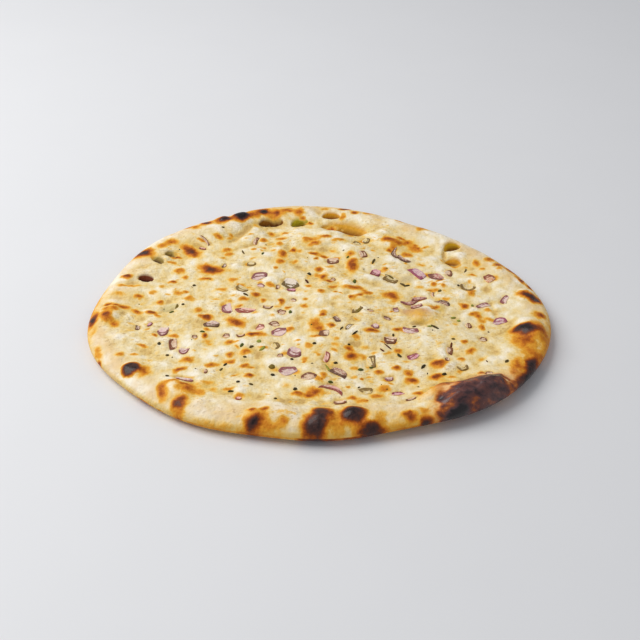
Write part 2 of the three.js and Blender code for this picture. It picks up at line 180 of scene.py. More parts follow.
# Small browned marks: x, y, length, width, turn and heat, where 0.35 is golden and 0.75 dark brown
BROWNED_MARKS = (
    (-69.5, 43, 11, 6, -40, 0.69), (-57.5, 27.5, 12, 6, -20, 0.68), (-74, 26, 5, 4, 0, 0.5),
    (-70, 20.5, 3, 3, 0, 0.42), (-60, 19, 5, 3, 0, 0.42), (-50, 44, 5, 3, 0, 0.42),
    (-48.5, 40, 5, 3, 0, 0.42), (-5, 52.5, 9, 3, 8, 0.42), (3, 54.5, 6, 2.4, 6, 0.54),
    (10, 52, 6, 2.4, 0, 0.44), (-3, 49.4, 8, 3, 6, 0.5), (-8, 54, 5, 2.4, 10, 0.36),
    (37, 52.5, 5, 5, -30, 0.58), (41.5, 51, 8, 4, -20, 0.5), (47.5, 51.5, 6, 4, 0, 0.5),
    (40, 47, 4, 6, 0, 0.42), (47, 41, 5, 4, 0, 0.5), (52, 46.5, 8, 5, -30, 0.4), (-20, 40.5, 4, 6, 0, 0.55),
    (-21, 33.5, 4, 4, 0, 0.48), (-14.5, 45, 3, 4, 0, 0.6), (-1.5, 42, 3, 4, 0, 0.42),
    (17.5, 31, 5, 9, 0, 0.6), (2, 21, 4, 5, 0, 0.55), (7, 12.5, 4, 2.5, 0, 0.5), (17, 11.5, 9, 3, 0, 0.46),
    (1, 8, 4, 3, 0, 0.42), (24, 7.5, 5, 2.5, 0, 0.45), (36.5, 5.5, 8, 6, 0, 0.52),
    (-32.5, 6.5, 4, 4, 0, 0.55), (-28.5, 1.5, 3, 3, 0, 0.42), (-19, 0.5, 2.4, 6, 0, 0.45),
    (1.5, -11, 3, 2.5, 0, 0.58), (-2.5, -18.5, 6, 9, 0, 0.5), (5.5, -20, 3.5, 4, 0, 0.5),
    (-14.5, -21.5, 3, 3, 0, 0.45), (-41.5, -15.5, 9, 5, -30, 0.58), (-56, -11, 6, 3, 0, 0.68),
    (-60.5, -6.5, 3, 3, 0, 0.45), (-32, -24.5, 7, 3.5, 0, 0.61), (-55.5, -26, 3, 4, 0, 0.6),
    (-26.5, -34.5, 4, 2.5, 0, 0.5), (-35, -37.5, 5, 4, 0, 0.46), (-41.5, -39, 3.5, 3.5, 0, 0.46),
    (-43, -30, 4, 3, 0, 0.45), (-62, -43, 5, 4, 0, 0.46), (-63.5, -50, 7, 2.5, 20, 0.4),
    (-87, -39.5, 4, 2, 0, 0.4), (-93.5, -40.5, 4, 3, 0, 0.34), (-35, -47, 4, 3, 0, 0.46),
    (-32.5, -54, 4.5, 3, 0, 0.58), (-6.5, -42, 3, 3, 0, 0.42), (-5, -33.5, 3, 3, 0, 0.42),
    (15, -40.5, 5.5, 5, 0, 0.63), (25, -23.5, 6, 3, 0, 0.6), (17.5, -28.5, 4, 3, 0, 0.42),
    (37.5, -21, 3.5, 2.4, 0, 0.58), (37, -36.5, 3.5, 3, 0, 0.5), (-1.5, -64.5, 6.5, 5, 0, 0.52),
    (-9.5, -66, 6, 3, 0, 0.5), (18.5, -71.5, 4, 4, 0, 0.42), (27.5, -50.5, 4, 2.5, 0, 0.48),
    (35.5, -49, 3.5, 3, 0, 0.5), (41, -52, 3.5, 3, 0, 0.5), (42, -57, 4.5, 4, 0, 0.6),
    (29, -61.5, 5, 5, 0, 0.4), (2, -54, 2.5, 5, 0, 0.4), (55.5, -46, 6, 5, 0, 0.66),
    (53.5, -54.5, 5, 4, 0, 0.56), (66, -43.5, 3.5, 3, 0, 0.46), (71, -38, 5, 3.2, 30, 0.46),
    (69, -31, 3, 2.8, 0, 0.5), (78.5, -11.5, 2.6, 5, 0, 0.54), (79, -19, 2.6, 5, 0, 0.5),
    (72.5, -3, 4, 4, 0, 0.58), (77, 6, 4, 4, 0, 0.46), (83.5, 32, 3.5, 4, 0, 0.46),
    (84.5, -7, 3.4, 3, 0, 0.38), (74, -55, 3, 3, 0, 0.5), (59, 15.5, 2.6, 2.6, 0, 0.5),
    (63.5, 13, 2.6, 2.6, 0, 0.42), (47.5, -11, 6, 5, 0, 0.12), (53, -14, 7, 5, 20, 0.12),
    (-51.5, -58.5, 6, 3, 10, 0.3), (60, -56, 3, 2.5, 0, 0.35), (89, 17.5, 5, 5, 0, 0.48),
    (94.5, 25.5, 3, 3, 0, 0.4), (85.5, 26, 3, 3, 0, 0.35), (-91.5, 3.5, 4, 3, 0, 0.5),
    (-100, 19, 5, 4, 0, 0.61), (-80, 0, 3, 3.5, 0, 0.52), (-83.5, -8.8, 5, 2.4, -20, 0.56),
    (-80.3, -10.8, 4, 2, -30, 0.5), (-90.3, -8.2, 5, 3, -30, 0.6), (-84.5, 7, 4, 3, 0, 0.36),
    (-71.5, 7, 5, 3, -20, 0.34), (-65.5, 2.5, 5, 3, 20, 0.34), (-49.5, 9.5, 6, 3, 0, 0.34),
    (-45, 18, 5, 4, 0, 0.36),
)
# How far a browned mark spreads, how hot it is and how it fades, and the same of its faint halo
MARK_SHARE = 0.57
MARK_HEAT = 1.06
MARK_FALL = 0.85
MARK_SHARPNESS = 2.2
HALO_HEAT = 0.2
HALO_FALL = 0.3

# Scorched marks of the rim: x, y, length, width, turn, heat and how sharp the border is
SCORCHED_MARKS = (
    (-101.5, -8.5, 5, 3, 0, 0.5, 2), (-105.5, -8, 4, 5, 60, 0.46, 2), (-105, -13.5, 6, 5, 70, 0.72, 2),
    (-103.5, -16.5, 5, 4, 0, 0.55, 2), (-100, -19, 5, 4, 0, 0.5, 2), (-111.5, -15, 4, 8, -10, 0.92, 2),
    (-109.5, -23, 3, 8, -15, 0.26, 2), (-98, 11.8, 12, 2.2, 4, 0.46, 2), (-106.3, -3.6, 4, 2.4, 0, 0.72, 2),
    (-102, -4.6, 4.4, 2.6, -10, 0.62, 2), (-97.2, -5.8, 6, 2.8, -10, 0.6, 2), (-101, 4.5, 7, 3, 0, 0.36, 2),
    (-100.8, 18.6, 4, 2, 0, 0.4, 2), (-94.5, 40, 9, 5.5, 35, 0.98, 2), (-90.5, 38.5, 7, 5, 35, 0.42, 2),
    (-80.5, 49.5, 6, 5, 0, 0.56, 2), (-85, 46.5, 6, 4, 40, 0.4, 2), (-72.5, 63, 5, 4, 30, 0.55, 2),
    (-68, 61, 5, 4, 0, 0.5, 2), (-63, 65, 6, 4.5, 25, 0.82, 2), (-53, 68, 9, 5.5, 20, 1, 2),
    (-44, 72, 9, 8, 20, 1.15, 3), (-31.5, 78.5, 6.5, 5.5, 0, 1, 2), (-25.5, 77, 14, 7, 5, 0.5, 2),
    (-12, 78.5, 6, 7, 0, 0.5, 2), (-18, 80, 8, 4, 0, 0.52, 2), (-37.5, 75, 10, 7, 20, 0.55, 2),
    (-24, 76.5, 3.4, 4, 0, 0.5, 2), (13, 76, 3.4, 6, 0, 0.5, 2), (20, 80, 4, 3.4, 0, 0.55, 2),
    (27, 79.5, 8, 3.4, -12, 0.44, 2), (14, 83.5, 7, 3, 0, 0.82, 2), (3, 83, 6, 3, 0, 0.4, 2),
    (55.5, 61, 5, 4, 0, 0.38, 2), (45, 71, 6, 2.5, -20, 0.36, 2), (58, 62, 7, 2.5, -30, 0.36, 2),
    (94.5, 30, 6, 4, 30, 0.62, 2), (90, 34.5, 5, 4, 30, 0.6, 2), (100, 25, 8, 3.4, -50, 0.62, 2),
    (103.5, 16.5, 6, 3, -65, 0.7, 2), (107.5, 11, 5, 3, -75, 0.7, 2), (104.5, 1.4, 9, 5.4, -30, 0.88, 2),
    (108.5, -0.6, 6, 6, -40, 0.86, 2), (108, -13.5, 6, 4.5, 0, 0.66, 2), (98.5, -25, 13, 6.5, -8, 1, 3),
    (97, -31.5, 12, 12, 0, 0.55, 2), (106, -26.5, 6, 13, 15, 0.5, 2), (99.5, -40.5, 14, 9, -60, 0.42, 2),
    (97.4, -51, 7, 17, -24, 0.94, 3), (90, -51, 6, 13, -20, 0.5, 2), (92.5, -58.5, 12, 6, 45, 0.86, 3),
    (71.5, -69.4, 38, 17, 21, 0.76, 4), (71, -70, 42, 20, 21, 0.42, 4), (78, -61.5, 20, 3, 4, 0.74, 2),
    (58, -65, 17, 9, 24, 0.52, 4), (58.2, -67.8, 14, 7.5, 24, -0.53, 2), (84, -62.5, 7, 3, 20, -0.66, 2),
    (68, -74.8, 8, 5, 20, -0.66, 2), (59.8, -79.4, 14, 5, 20, 1.08, 3), (75.4, -75.8, 10, 4, 30, 1.08, 2),
    (54, -74, 6, 9, 20, 0.76, 2), (45.8, -78.8, 6, 4, 0, 0.36, 2), (49, -68.5, 15, 10, 35, 0.25, 2),
    (39.2, -81, 6, 4, -10, 0.66, 2), (46.4, -83, 6, 4.6, 0, 0.9, 2), (53, -79.8, 6, 4, 0, 0.6, 2),
    (1.2, -81.6, 9, 10, 10, 0.86, 3), (-1.6, -87, 12, 10, 0, 0.88, 3), (14.4, -81.8, 11.5, 9.5, 0, 0.95, 3),
    (22.6, -87.8, 14, 5.4, 5, 0.84, 3), (8, -85.5, 7, 11, 0, 0.4, 2), (26.5, -82.5, 7, 8, 0, 0.34, 2),
    (-28.8, -85, 7.4, 5.6, 0, 0.86, 2), (-27, -83, 11, 8, 0, 0.44, 2), (-29.6, -79.4, 4, 2.8, 0, 0.58, 2),
    (-24.5, -78.8, 4, 2.6, 10, 0.54, 2), (-15, -85.5, 5, 4.5, 0, 0.42, 2), (-22, -86.5, 14, 5, -3, 0.4, 2),
    (-59, -63.8, 12, 8, -5, 0.46, 2), (-62, -76.6, 5, 6, 0, 0.46, 2), (-62.3, -72, 6.4, 5.4, 0, 0.82, 2),
    (-70.4, -64.6, 4.4, 10, 10, 0.6, 2), (-66.6, -59.4, 7, 2.6, 15, 0.44, 2),
    (-54, -65.5, 7, 5, -20, 0.4, 2), (-61, -61, 7, 2.4, -10, 0.52, 2), (-86.8, -50.4, 9, 8, 25, 0.96, 5),
    (-81, -51.8, 7, 7, 0, 0.52, 2), (-104, -43.4, 5, 1.8, -50, 0.62, 2), (-104.5, -37.6, 9, 4, -60, 0.4, 2),
)
SCORCH_FALL = 0.7

# Stretches of the rim's outer side that are baked golden: angle, spread, reach inwards and heat
GOLDEN_STRETCHES = (
    (-20, 17, 12, 0.36), (184, 12, 6, 0.3), (118, 18, 9, 0.42), (-90, 16, 4, 0.13), (-115, 14, 5, 0.22),
    (-64, 10, 8, 0.26), (16, 14, 5, 0.3), (-140, 16, 4, 0.1), (88, 12, 5, 0.34), (60, 12, 2, 0.2),
)
# Heat of the very edge and how far in it reaches
EDGE_HEAT = 0.05
EDGE_HEAT_REACH = 2.5
# How patchy the golden stretches are: base, swing and most
GOLDEN_BASE = 0.8
GOLDEN_SWING = 0.35
GOLDEN_MOST = 1.3
# Heat of the underside, of its patches and spots, of its rim, and how far the scorched marks wrap under
UNDER_HEAT = 0.18
PATCH_HEAT = 0.55
PATCH_SHARPNESS = 1.2
UNDER_SPOT_HEAT = 0.5
UNDER_SPOT_START = 0.35
UNDER_RIM_GAIN = 1.3
SCORCH_WRAP = 5

# Pieces of onion: x, y, length, width, turn and tone
ONION_PIECES = (
    (7, 35.5, 8, 5, 0, "r"), (23.5, 40, 7, 3.5, 100, "r"), (29.5, 25.5, 6, 5, -20, "m"),
    (-31.5, 22, 8, 7, 20, "v"), (39.8, 41, 9, 2.6, -78, "d"), (43.6, 36.6, 10, 3, -52, "d"),
    (-35, 53, 6, 2.5, 75, "r"), (7, 19, 2.5, 2.5, 0, "r"), (51, 25.4, 11, 5.5, -50, "q"),
    (61.3, 22.3, 8, 5, -35, "b"), (67.9, 25.3, 5, 4, 90, "r"), (50, 4, 8, 3.4, 10, "b"),
    (46.5, 0.4, 9, 3.4, 25, "b"), (48.5, -3.6, 7, 3.4, 15, "b"), (62.5, 0.4, 8.5, 3, -28, "d"),
    (57.5, 7.5, 4, 1.5, 80, "r"), (93, 1, 6, 3, 60, "v"), (87.8, 17.7, 6, 6, 0, "t"),
    (82, -2.8, 6.5, 3, 15, "v"), (76, 13, 8, 6, -15, "o"), (88.2, -15, 6.5, 4.5, 10, "q"),
    (73, -17.5, 4, 3, 90, "r"), (78.5, -28, 4, 3, 0, "r"), (61.5, -37, 6, 3, 80, "r"),
    (44, -40.5, 6, 4, 25, "m"), (59.5, -43.5, 2.5, 2, 90, "r"), (43.5, -21.5, 8, 4, -20, "v"),
    (66, -49, 5, 4, 0, "o"), (77, -55, 3, 3, 0, "r"), (38, -6, 3, 3, 0, "v"), (34, -28.5, 6, 5, 0, "r"),
    (27.5, -19, 4, 4, 0, "v"), (33.5, -12, 4, 2, -35, "d"), (25.5, -7.5, 3.5, 1.5, 0, "r"),
    (8.5, -14, 6, 3, -70, "d"), (2.5, -25, 6, 5, 80, "r"), (24, -43.5, 8, 4, 90, "o"),
    (3.5, -40.5, 6, 3, 80, "p"), (-12, -37.5, 6.5, 6.5, 0, "v"), (-15, -50, 8.5, 7, 10, "v"),
    (-5, -54.5, 7, 6, 0, "r"), (9, -51, 10, 5, -40, "d"), (5.5, -61, 11, 3, -17, "p"),
    (21, -63.5, 6.5, 4, 0, "o"), (8.5, -71.5, 5.5, 3.5, 0, "r"), (32, -55, 4, 2.5, 0, "v"),
    (35, -65, 5, 2.5, 10, "m"), (40.5, -70, 5, 1.5, 20, "r"), (-36, -69.5, 3, 2.5, 0, "p"),
    (-18.5, -40, 2.5, 2.5, 0, "r"), (-21, -32.5, 5, 4.5, 90, "o"), (-20, -23, 7.5, 5, 15, "v"),
    (-29, -19, 4, 4, 0, "p"), (-22, -17, 5.5, 4, 0, "r"), (-19, -8, 4, 4, 0, "r"),
    (-26.5, -4, 5, 2, -15, "r"), (-37, -6.5, 9.5, 4, -5, "p"), (-13, 3, 3.5, 2, -30, "r"),
    (-14.5, 11.5, 5, 3, -10, "m"), (-15, 16.5, 9, 7, 0, "w"), (-21.5, 13.5, 4, 2, 90, "r"),
    (-30.5, 14.5, 4, 2.5, -20, "v"), (-46.5, -5, 7.5, 5.5, 100, "v"), (-53, -16, 9, 5, -15, "k"),
    (-38, -25, 4, 2, 10, "r"), (-45, -25, 3, 3, 0, "r"), (-60, -26.5, 2.5, 2.5, 0, "r"),
    (-64.5, -36.5, 5, 4, 0, "v"), (-70, -32, 8, 4, 100, "r"), (-76, -22.5, 6, 5, 0, "v"),
    (-83, -17.2, 3.5, 2, 60, "q"), (-88.5, -20, 3.5, 2.5, 90, "d"), (-61, -56.5, 10, 1.5, -15, "v"),
    (-52.5, -51, 3, 2, 90, "r"), (-62, 51.5, 8, 1.5, -50, "r"), (-63.5, 46, 5, 1.3, -20, "p"),
    (-50.5, 31, 3, 2, 60, "d"), (-36.5, 32.5, 5, 4, 0, "o"), (20.5, 51, 4, 4, 0, "o"),
    (25.5, 54, 5, 4, 40, "o"), (-40, 10.5, 6, 4.5, -40, "o"), (37, 21.5, 8, 6, -30, "o"),
    (18.5, -6, 6, 4, 40, "o"), (14, -21, 5, 2.5, 60, "w"),
)

# Herb flecks: x, y, length, width, turn and tone
HERB_FLECKS = (
    (-41.5, 42.5, 5, 1, -70, "d"), (-30.5, 40, 2.5, 1.5, 60, "g"), (-5.5, 24, 3, 2, -60, "b"),
    (15, 37.5, 2.2, 1.4, 45, "g"), (28.5, 34, 5, 1.5, 70, "d"), (18, 16.5, 4, 2, 80, "g"),
    (37, 23, 7, 2, -35, "o"), (43, 16.5, 5, 2, -50, "d"), (45, 15, 4, 1.5, 10, "d"),
    (77, 27, 4, 1, 70, "d"), (71.5, 14, 1.5, 1.2, 0, "b"), (61.5, 9.5, 3, 1.5, 30, "o"),
    (19.5, -7, 6, 2.6, 50, "o"), (-6.5, 17.5, 4, 1.5, -60, "r"), (-37.5, 5, 4, 1.6, -30, "d"),
    (-14.5, -8, 3, 2, 80, "g"), (-29, -30, 3, 3, 0, "l"), (-32.5, -34, 3, 1.4, 30, "d"),
    (-13, -42.5, 2, 1.4, 0, "b"), (-2.5, -32.5, 2, 1.4, 0, "b"), (7.5, -44.5, 2.2, 1.6, 0, "b"),
    (5, -58, 2.5, 1.5, 0, "g"), (17, -26, 4.5, 1, 45, "b"), (37.5, -40, 3.8, 1.7, -60, "b"),
    (29.5, -36.5, 3, 1, -50, "r"), (32.5, -34, 6, 0.9, -50, "r"), (-11, -63, 2.6, 2, 10, "b"),
    (-19.5, -70, 2, 1.4, 0, "d"), (-21.5, -53, 2.6, 2, 0, "b"), (-22, -48, 4, 3.4, 0, "o"),
    (-31, -60, 2.4, 1.4, 0, "d"), (-40, -64.5, 3, 1.5, 0, "b"), (-37, -58.5, 2, 1.5, 0, "b"),
    (19, -49, 3, 2, 0, "g"), (4, -48, 6, 1.4, -65, "l"), (10.5, -22.5, 3, 1, 60, "d"),
    (-76.5, -31.5, 2.5, 2, 90, "b"), (-69.5, -55, 2, 1.4, 0, "d"), (-71.5, -39.5, 2, 1.4, 0, "d"),
    (-44, -46, 2.4, 1.4, 40, "b"), (-45.5, -49, 3, 1.2, 60, "o"), (-68.5, -2.5, 2, 1.4, 0, "d"),
    (-64.5, 13.5, 2, 1.4, 0, "d"), (-57, -22.5, 3, 1.6, 0, "g"), (48, -47.5, 4.4, 1.6, 55, "b"),
    (57, -53.5, 2.6, 1.6, 0, "b"), (56, -20, 5.5, 1.5, -35, "d"), (53.5, -19.5, 3, 1.4, 10, "l"),
    (64, -29, 2, 1.6, 0, "o"), (86.5, -47, 2.6, 1.8, 30, "d"), (68.5, -14, 2.4, 1.8, 0, "l"),
    (66, -12, 3, 1.6, 20, "l"), (76.5, -3, 2.4, 1.5, 80, "l"), (35.5, -25, 2, 1.5, 90, "d"),
    (-53.5, 61, 2, 1, 0, "d"), (-71.6, -3, 4.5, 1.8, 80, "o"), (-73.5, -8.2, 3, 1, 20, "g"),
    (-37, -33, 3, 1.6, 60, "g"), (-27, -35.5, 4, 1.6, 40, "l"), (-35, -41, 2, 1.2, 0, "d"),
    (62.5, -33.5, 5, 1.2, 80, "r"), (46, -19, 2.4, 1, 0, "d"), (14, -33, 1.6, 1.2, 0, "b"),
    (24, -47, 2, 1.4, 0, "g"),
)
# Fine specks between the flecks: seed, how many, how far out, widths, lengths over widths, and tones
SPECK_SEED = 31
SPECK_COUNT = 26
SPECK_SPREAD = 0.84
SPECK_WIDTHS = (0.4, 1.0)
SPECK_STRETCHES = (1, 2.2)
SPECK_TONES = ("b", "d", "d", "o", "g", "r")
# Golden freckles between the marks: seed, how many, shortest, longest and mildest and strongest heat
FRECKLES = (17, 470, 1.6, 6, 0.18, 0.6)
# How far out they lie, their widths over lengths, largest turn, leaning to mild heat, and fading
FRECKLE_SPREAD = 0.82
FRECKLE_WIDTHS = (0.35, 0.8)
FRECKLE_TURN = 35
FRECKLE_MILDNESS = 1.8
FRECKLE_FALL = 0.8

# Levels of a topping from its top down to its sunk base: share of the outline, and rise
ONION_LEVELS = (
    (0, 0.36), (0.15, 0.37), (0.3, 0.38), (0.45, 0.4), (0.6, 0.43), (0.72, 0.46), (0.84, 0.46), (0.92, 0.4),
    (0.98, 0.2), (1.02, -0.15), (0.95, -0.9), (0, -1.1),
)
HERB_LEVELS = ((0, 0.55), (0.6, 0.5), (0.9, 0.34), (1, 0.1), (0.8, -0.3), (0, -0.4))
SPECK_LEVELS = ((0, 0.3), (0.7, 0.24), (1, 0.02), (0, -0.25))
# Chopped outlines: how far corners drift and jut, how far out they lie, and how rounded the sides are
CORNER_DRIFT = 0.22
OUTWARD_JAG = 0.3
FOUR_CORNER_REACH = 1.2
MANY_CORNER_REACH = 1.08
ROUNDING = 0.25
# Steepest tilt of a topping, and how much its skin's side may lean
LARGEST_TILT = 0.06
LARGEST_LEAN = 0.5
# Dark skin: where across a piece it starts, how it fades in, and how it keeps to one side
SKIN_START = 0.5
SKIN_FADE = 0.22
SKIN_SIDE = 0.85
SKIN_LEAN = 1.3
BAND_START = 0.2
BAND_FADE = 0.3
# Onion: its seed, when a piece counts as long or thin, corners beyond four, bows and brightness
ONION_SEED = 5
LONG_PIECE = 1.8
THIN_PIECE = 2
MORE_CORNERS = 2.99
THIN_BOW = 1.1
BROAD_BOW = 0.5
ONION_BRIGHTNESS = (0.88, 1.12)
HERB_BRIGHTNESS = (0.8, 1.2)
# Layer line along a piece: strength, width and places, and the share of pieces without a band of skin
LAYER_STRENGTH = 0.75
LAYER_WIDTH = 0.16
LAYER_PLACES = (-0.1, 0.4)
BARE_SHARE = 0.55

# Stage: half the floor, its gap under the bread, the main light's place, the camera's film and nearest view
FLOOR_HALF = 3.0
FLOOR_DROP = 0.05 * MM
KEY_PLACE = (-0.6, 0.14, 0.82)
SENSOR_WIDTH = 36
CLIP_START = 10 * MM
# Gaps between nodes in the shader editor
NODE_COLUMN = 220
NODE_ROW = 260


def shade(red, green, blue):
    """A colour from its 0 to 255 screen values, in the linear values that shaders use."""
    linear = []
    for value in (red, green, blue):
        share = value / 255
        linear.append(share / 12.92 if share <= 0.04045 else ((share + 0.055) / 1.055) ** 2.4)
    return tuple(linear)


# Colour of each tone of fold: the moist dough inside it, the darker tones partly painted shade of the
# hollow
FOLD_TONES = {
    "d": shade(136, 84, 12),  # dark amber
    "o": shade(172, 154, 22),  # olive
    "g": shade(206, 142, 22),  # golden
    "y": shade(218, 158, 44),  # yellow
    "v": shade(194, 146, 20),  # mustard
    "m": shade(112, 52, 24),  # mahogany
    "k": shade(150, 124, 56),  # khaki
    "e": shade(222, 204, 146),  # pale cream
    "t": shade(198, 138, 86),  # tan
    "u": shade(164, 120, 38),  # umber
    "c": shade(208, 172, 72),  # corn yellow
    "h": shade(192, 168, 116),  # hay
}
# Flesh and skin of each tone of onion
ONION_TONES = {
    "v": (shade(220, 181, 184), shade(136, 66, 78)),  # violet pink
    "r": (shade(222, 178, 146), shade(112, 46, 28)),  # russet
    "m": (shade(222, 138, 166), shade(132, 30, 66)),  # magenta
    "d": (shade(158, 100, 90), shade(80, 36, 34)),  # dark red brown
    "p": (shade(236, 172, 160), shade(150, 50, 56)),  # pink
    "t": (shade(206, 134, 96), shade(124, 46, 34)),  # tawny
    "b": (shade(182, 106, 104), shade(118, 42, 52)),  # brick red
    "o": (shade(226, 198, 126), shade(120, 88, 32)),  # ochre
    "w": (shade(240, 224, 208), shade(96, 72, 24)),  # white
    "q": (shade(212, 156, 180), shade(142, 52, 92)),  # mauve
    "k": (shade(186, 150, 146), shade(84, 44, 30)),  # dull taupe
}
# Colour of each tone of herb fleck
HERB_TONES = {
    "b": shade(70, 58, 32),  # near black
    "d": shade(98, 78, 36),  # dark brown
    "g": shade(96, 104, 38),  # green
    "l": shade(166, 166, 66),  # light green
    "o": shade(136, 112, 46),  # olive brown
    "r": shade(104, 48, 28),  # red brown
}


class Draws:
    """A repeatable row of numbers between 0 and 1."""

    FACTOR = 1664525
    STEP = 1013904223
    SIZE = 2**32

    def __init__(self, seed):
        self.state = seed

    def next(self):
        self.state = (self.state * self.FACTOR + self.STEP) % self.SIZE
        return self.state / self.SIZE

    def between(self, low, high):
        return low + (high - low) * self.next()


def waves(angle, rows):
    """Sum of the waves round the bread at an angle."""
    return sum(height * np.cos(count * angle + math.radians(phase)) for count, height, phase in rows)


def smooth(share):
    """A share from 0 to 1 that starts and ends gently."""
    held = np.clip(share, 0, 1)
    return held * held * (3 - 2 * held)


def mottle(x, y, size, seed):
    """Smooth random swells between -1 and 1, of a chosen width."""
    column, row = np.floor(x / size), np.floor(y / size)
    along, up = smooth(x / size - column), smooth(y / size - row)

    def corner(right, above):
        mixed = (column + right) * COLUMN_FACTOR + (row + above) * ROW_FACTOR + seed * SEED_FACTOR
        wild = np.sin(mixed) * WILD_FACTOR
        return 2 * (wild - np.floor(wild)) - 1

    low = corner(0, 0) * (1 - along) + corner(1, 0) * along
    high = corner(0, 1) * (1 - along) + corner(1, 1) * along
    return low * (1 - up) + high * up


def layers(x, y, rows, start=0):
    """Sum of uneven layers, each row with its strength, width and seed."""
    return sum((strength * mottle(x, y, size, seed) for strength, size, seed in rows), start)


def turned(x, y, oval):
    """How far along and across a turned oval's own axes a place lies."""
    px, py, _, _, turn = oval
    cos, sin = math.cos(math.radians(turn)), math.sin(math.radians(turn))
    return (x - px) * cos + (y - py) * sin, (y - py) * cos - (x - px) * sin


def reach(x, y, oval, share=1, margin=0):
    """Distance from the middle of an oval, where 1 is its border once it is scaled and widened."""
    along, across = turned(x, y, oval)
    return np.hypot(along / (share * oval[2] + margin), across / (share * oval[3] + margin))


def reach_of_large_blister(x, y):
    """Distance from the middle of the large blister, where 1 is its border."""
    return reach(x, y, BLISTERS[0][:5])


def fold_depth(x, y, oval, back):
    """Share of a fold's depth at a place: steep behind the front lip, then fading to the back."""
    along, across = turned(x, y, oval)
    share = np.clip(along / oval[2], -1, 1)
    chord = np.sqrt(np.maximum(1 - share**2, 1e-9))
    behind = np.clip((across / oval[3] + chord) / ((1 + back) * chord), 0, 1)
    return FOLD_SCALE * np.sqrt(chord) * smooth(behind / FOLD_LIP) * (1 - behind) ** FOLD_FADE


def degrees_away(angle, place):
    """How far round the rim an angle lies from a place, from -180 to 180 degrees."""
    return (angle - place + 180) % 360 - 180


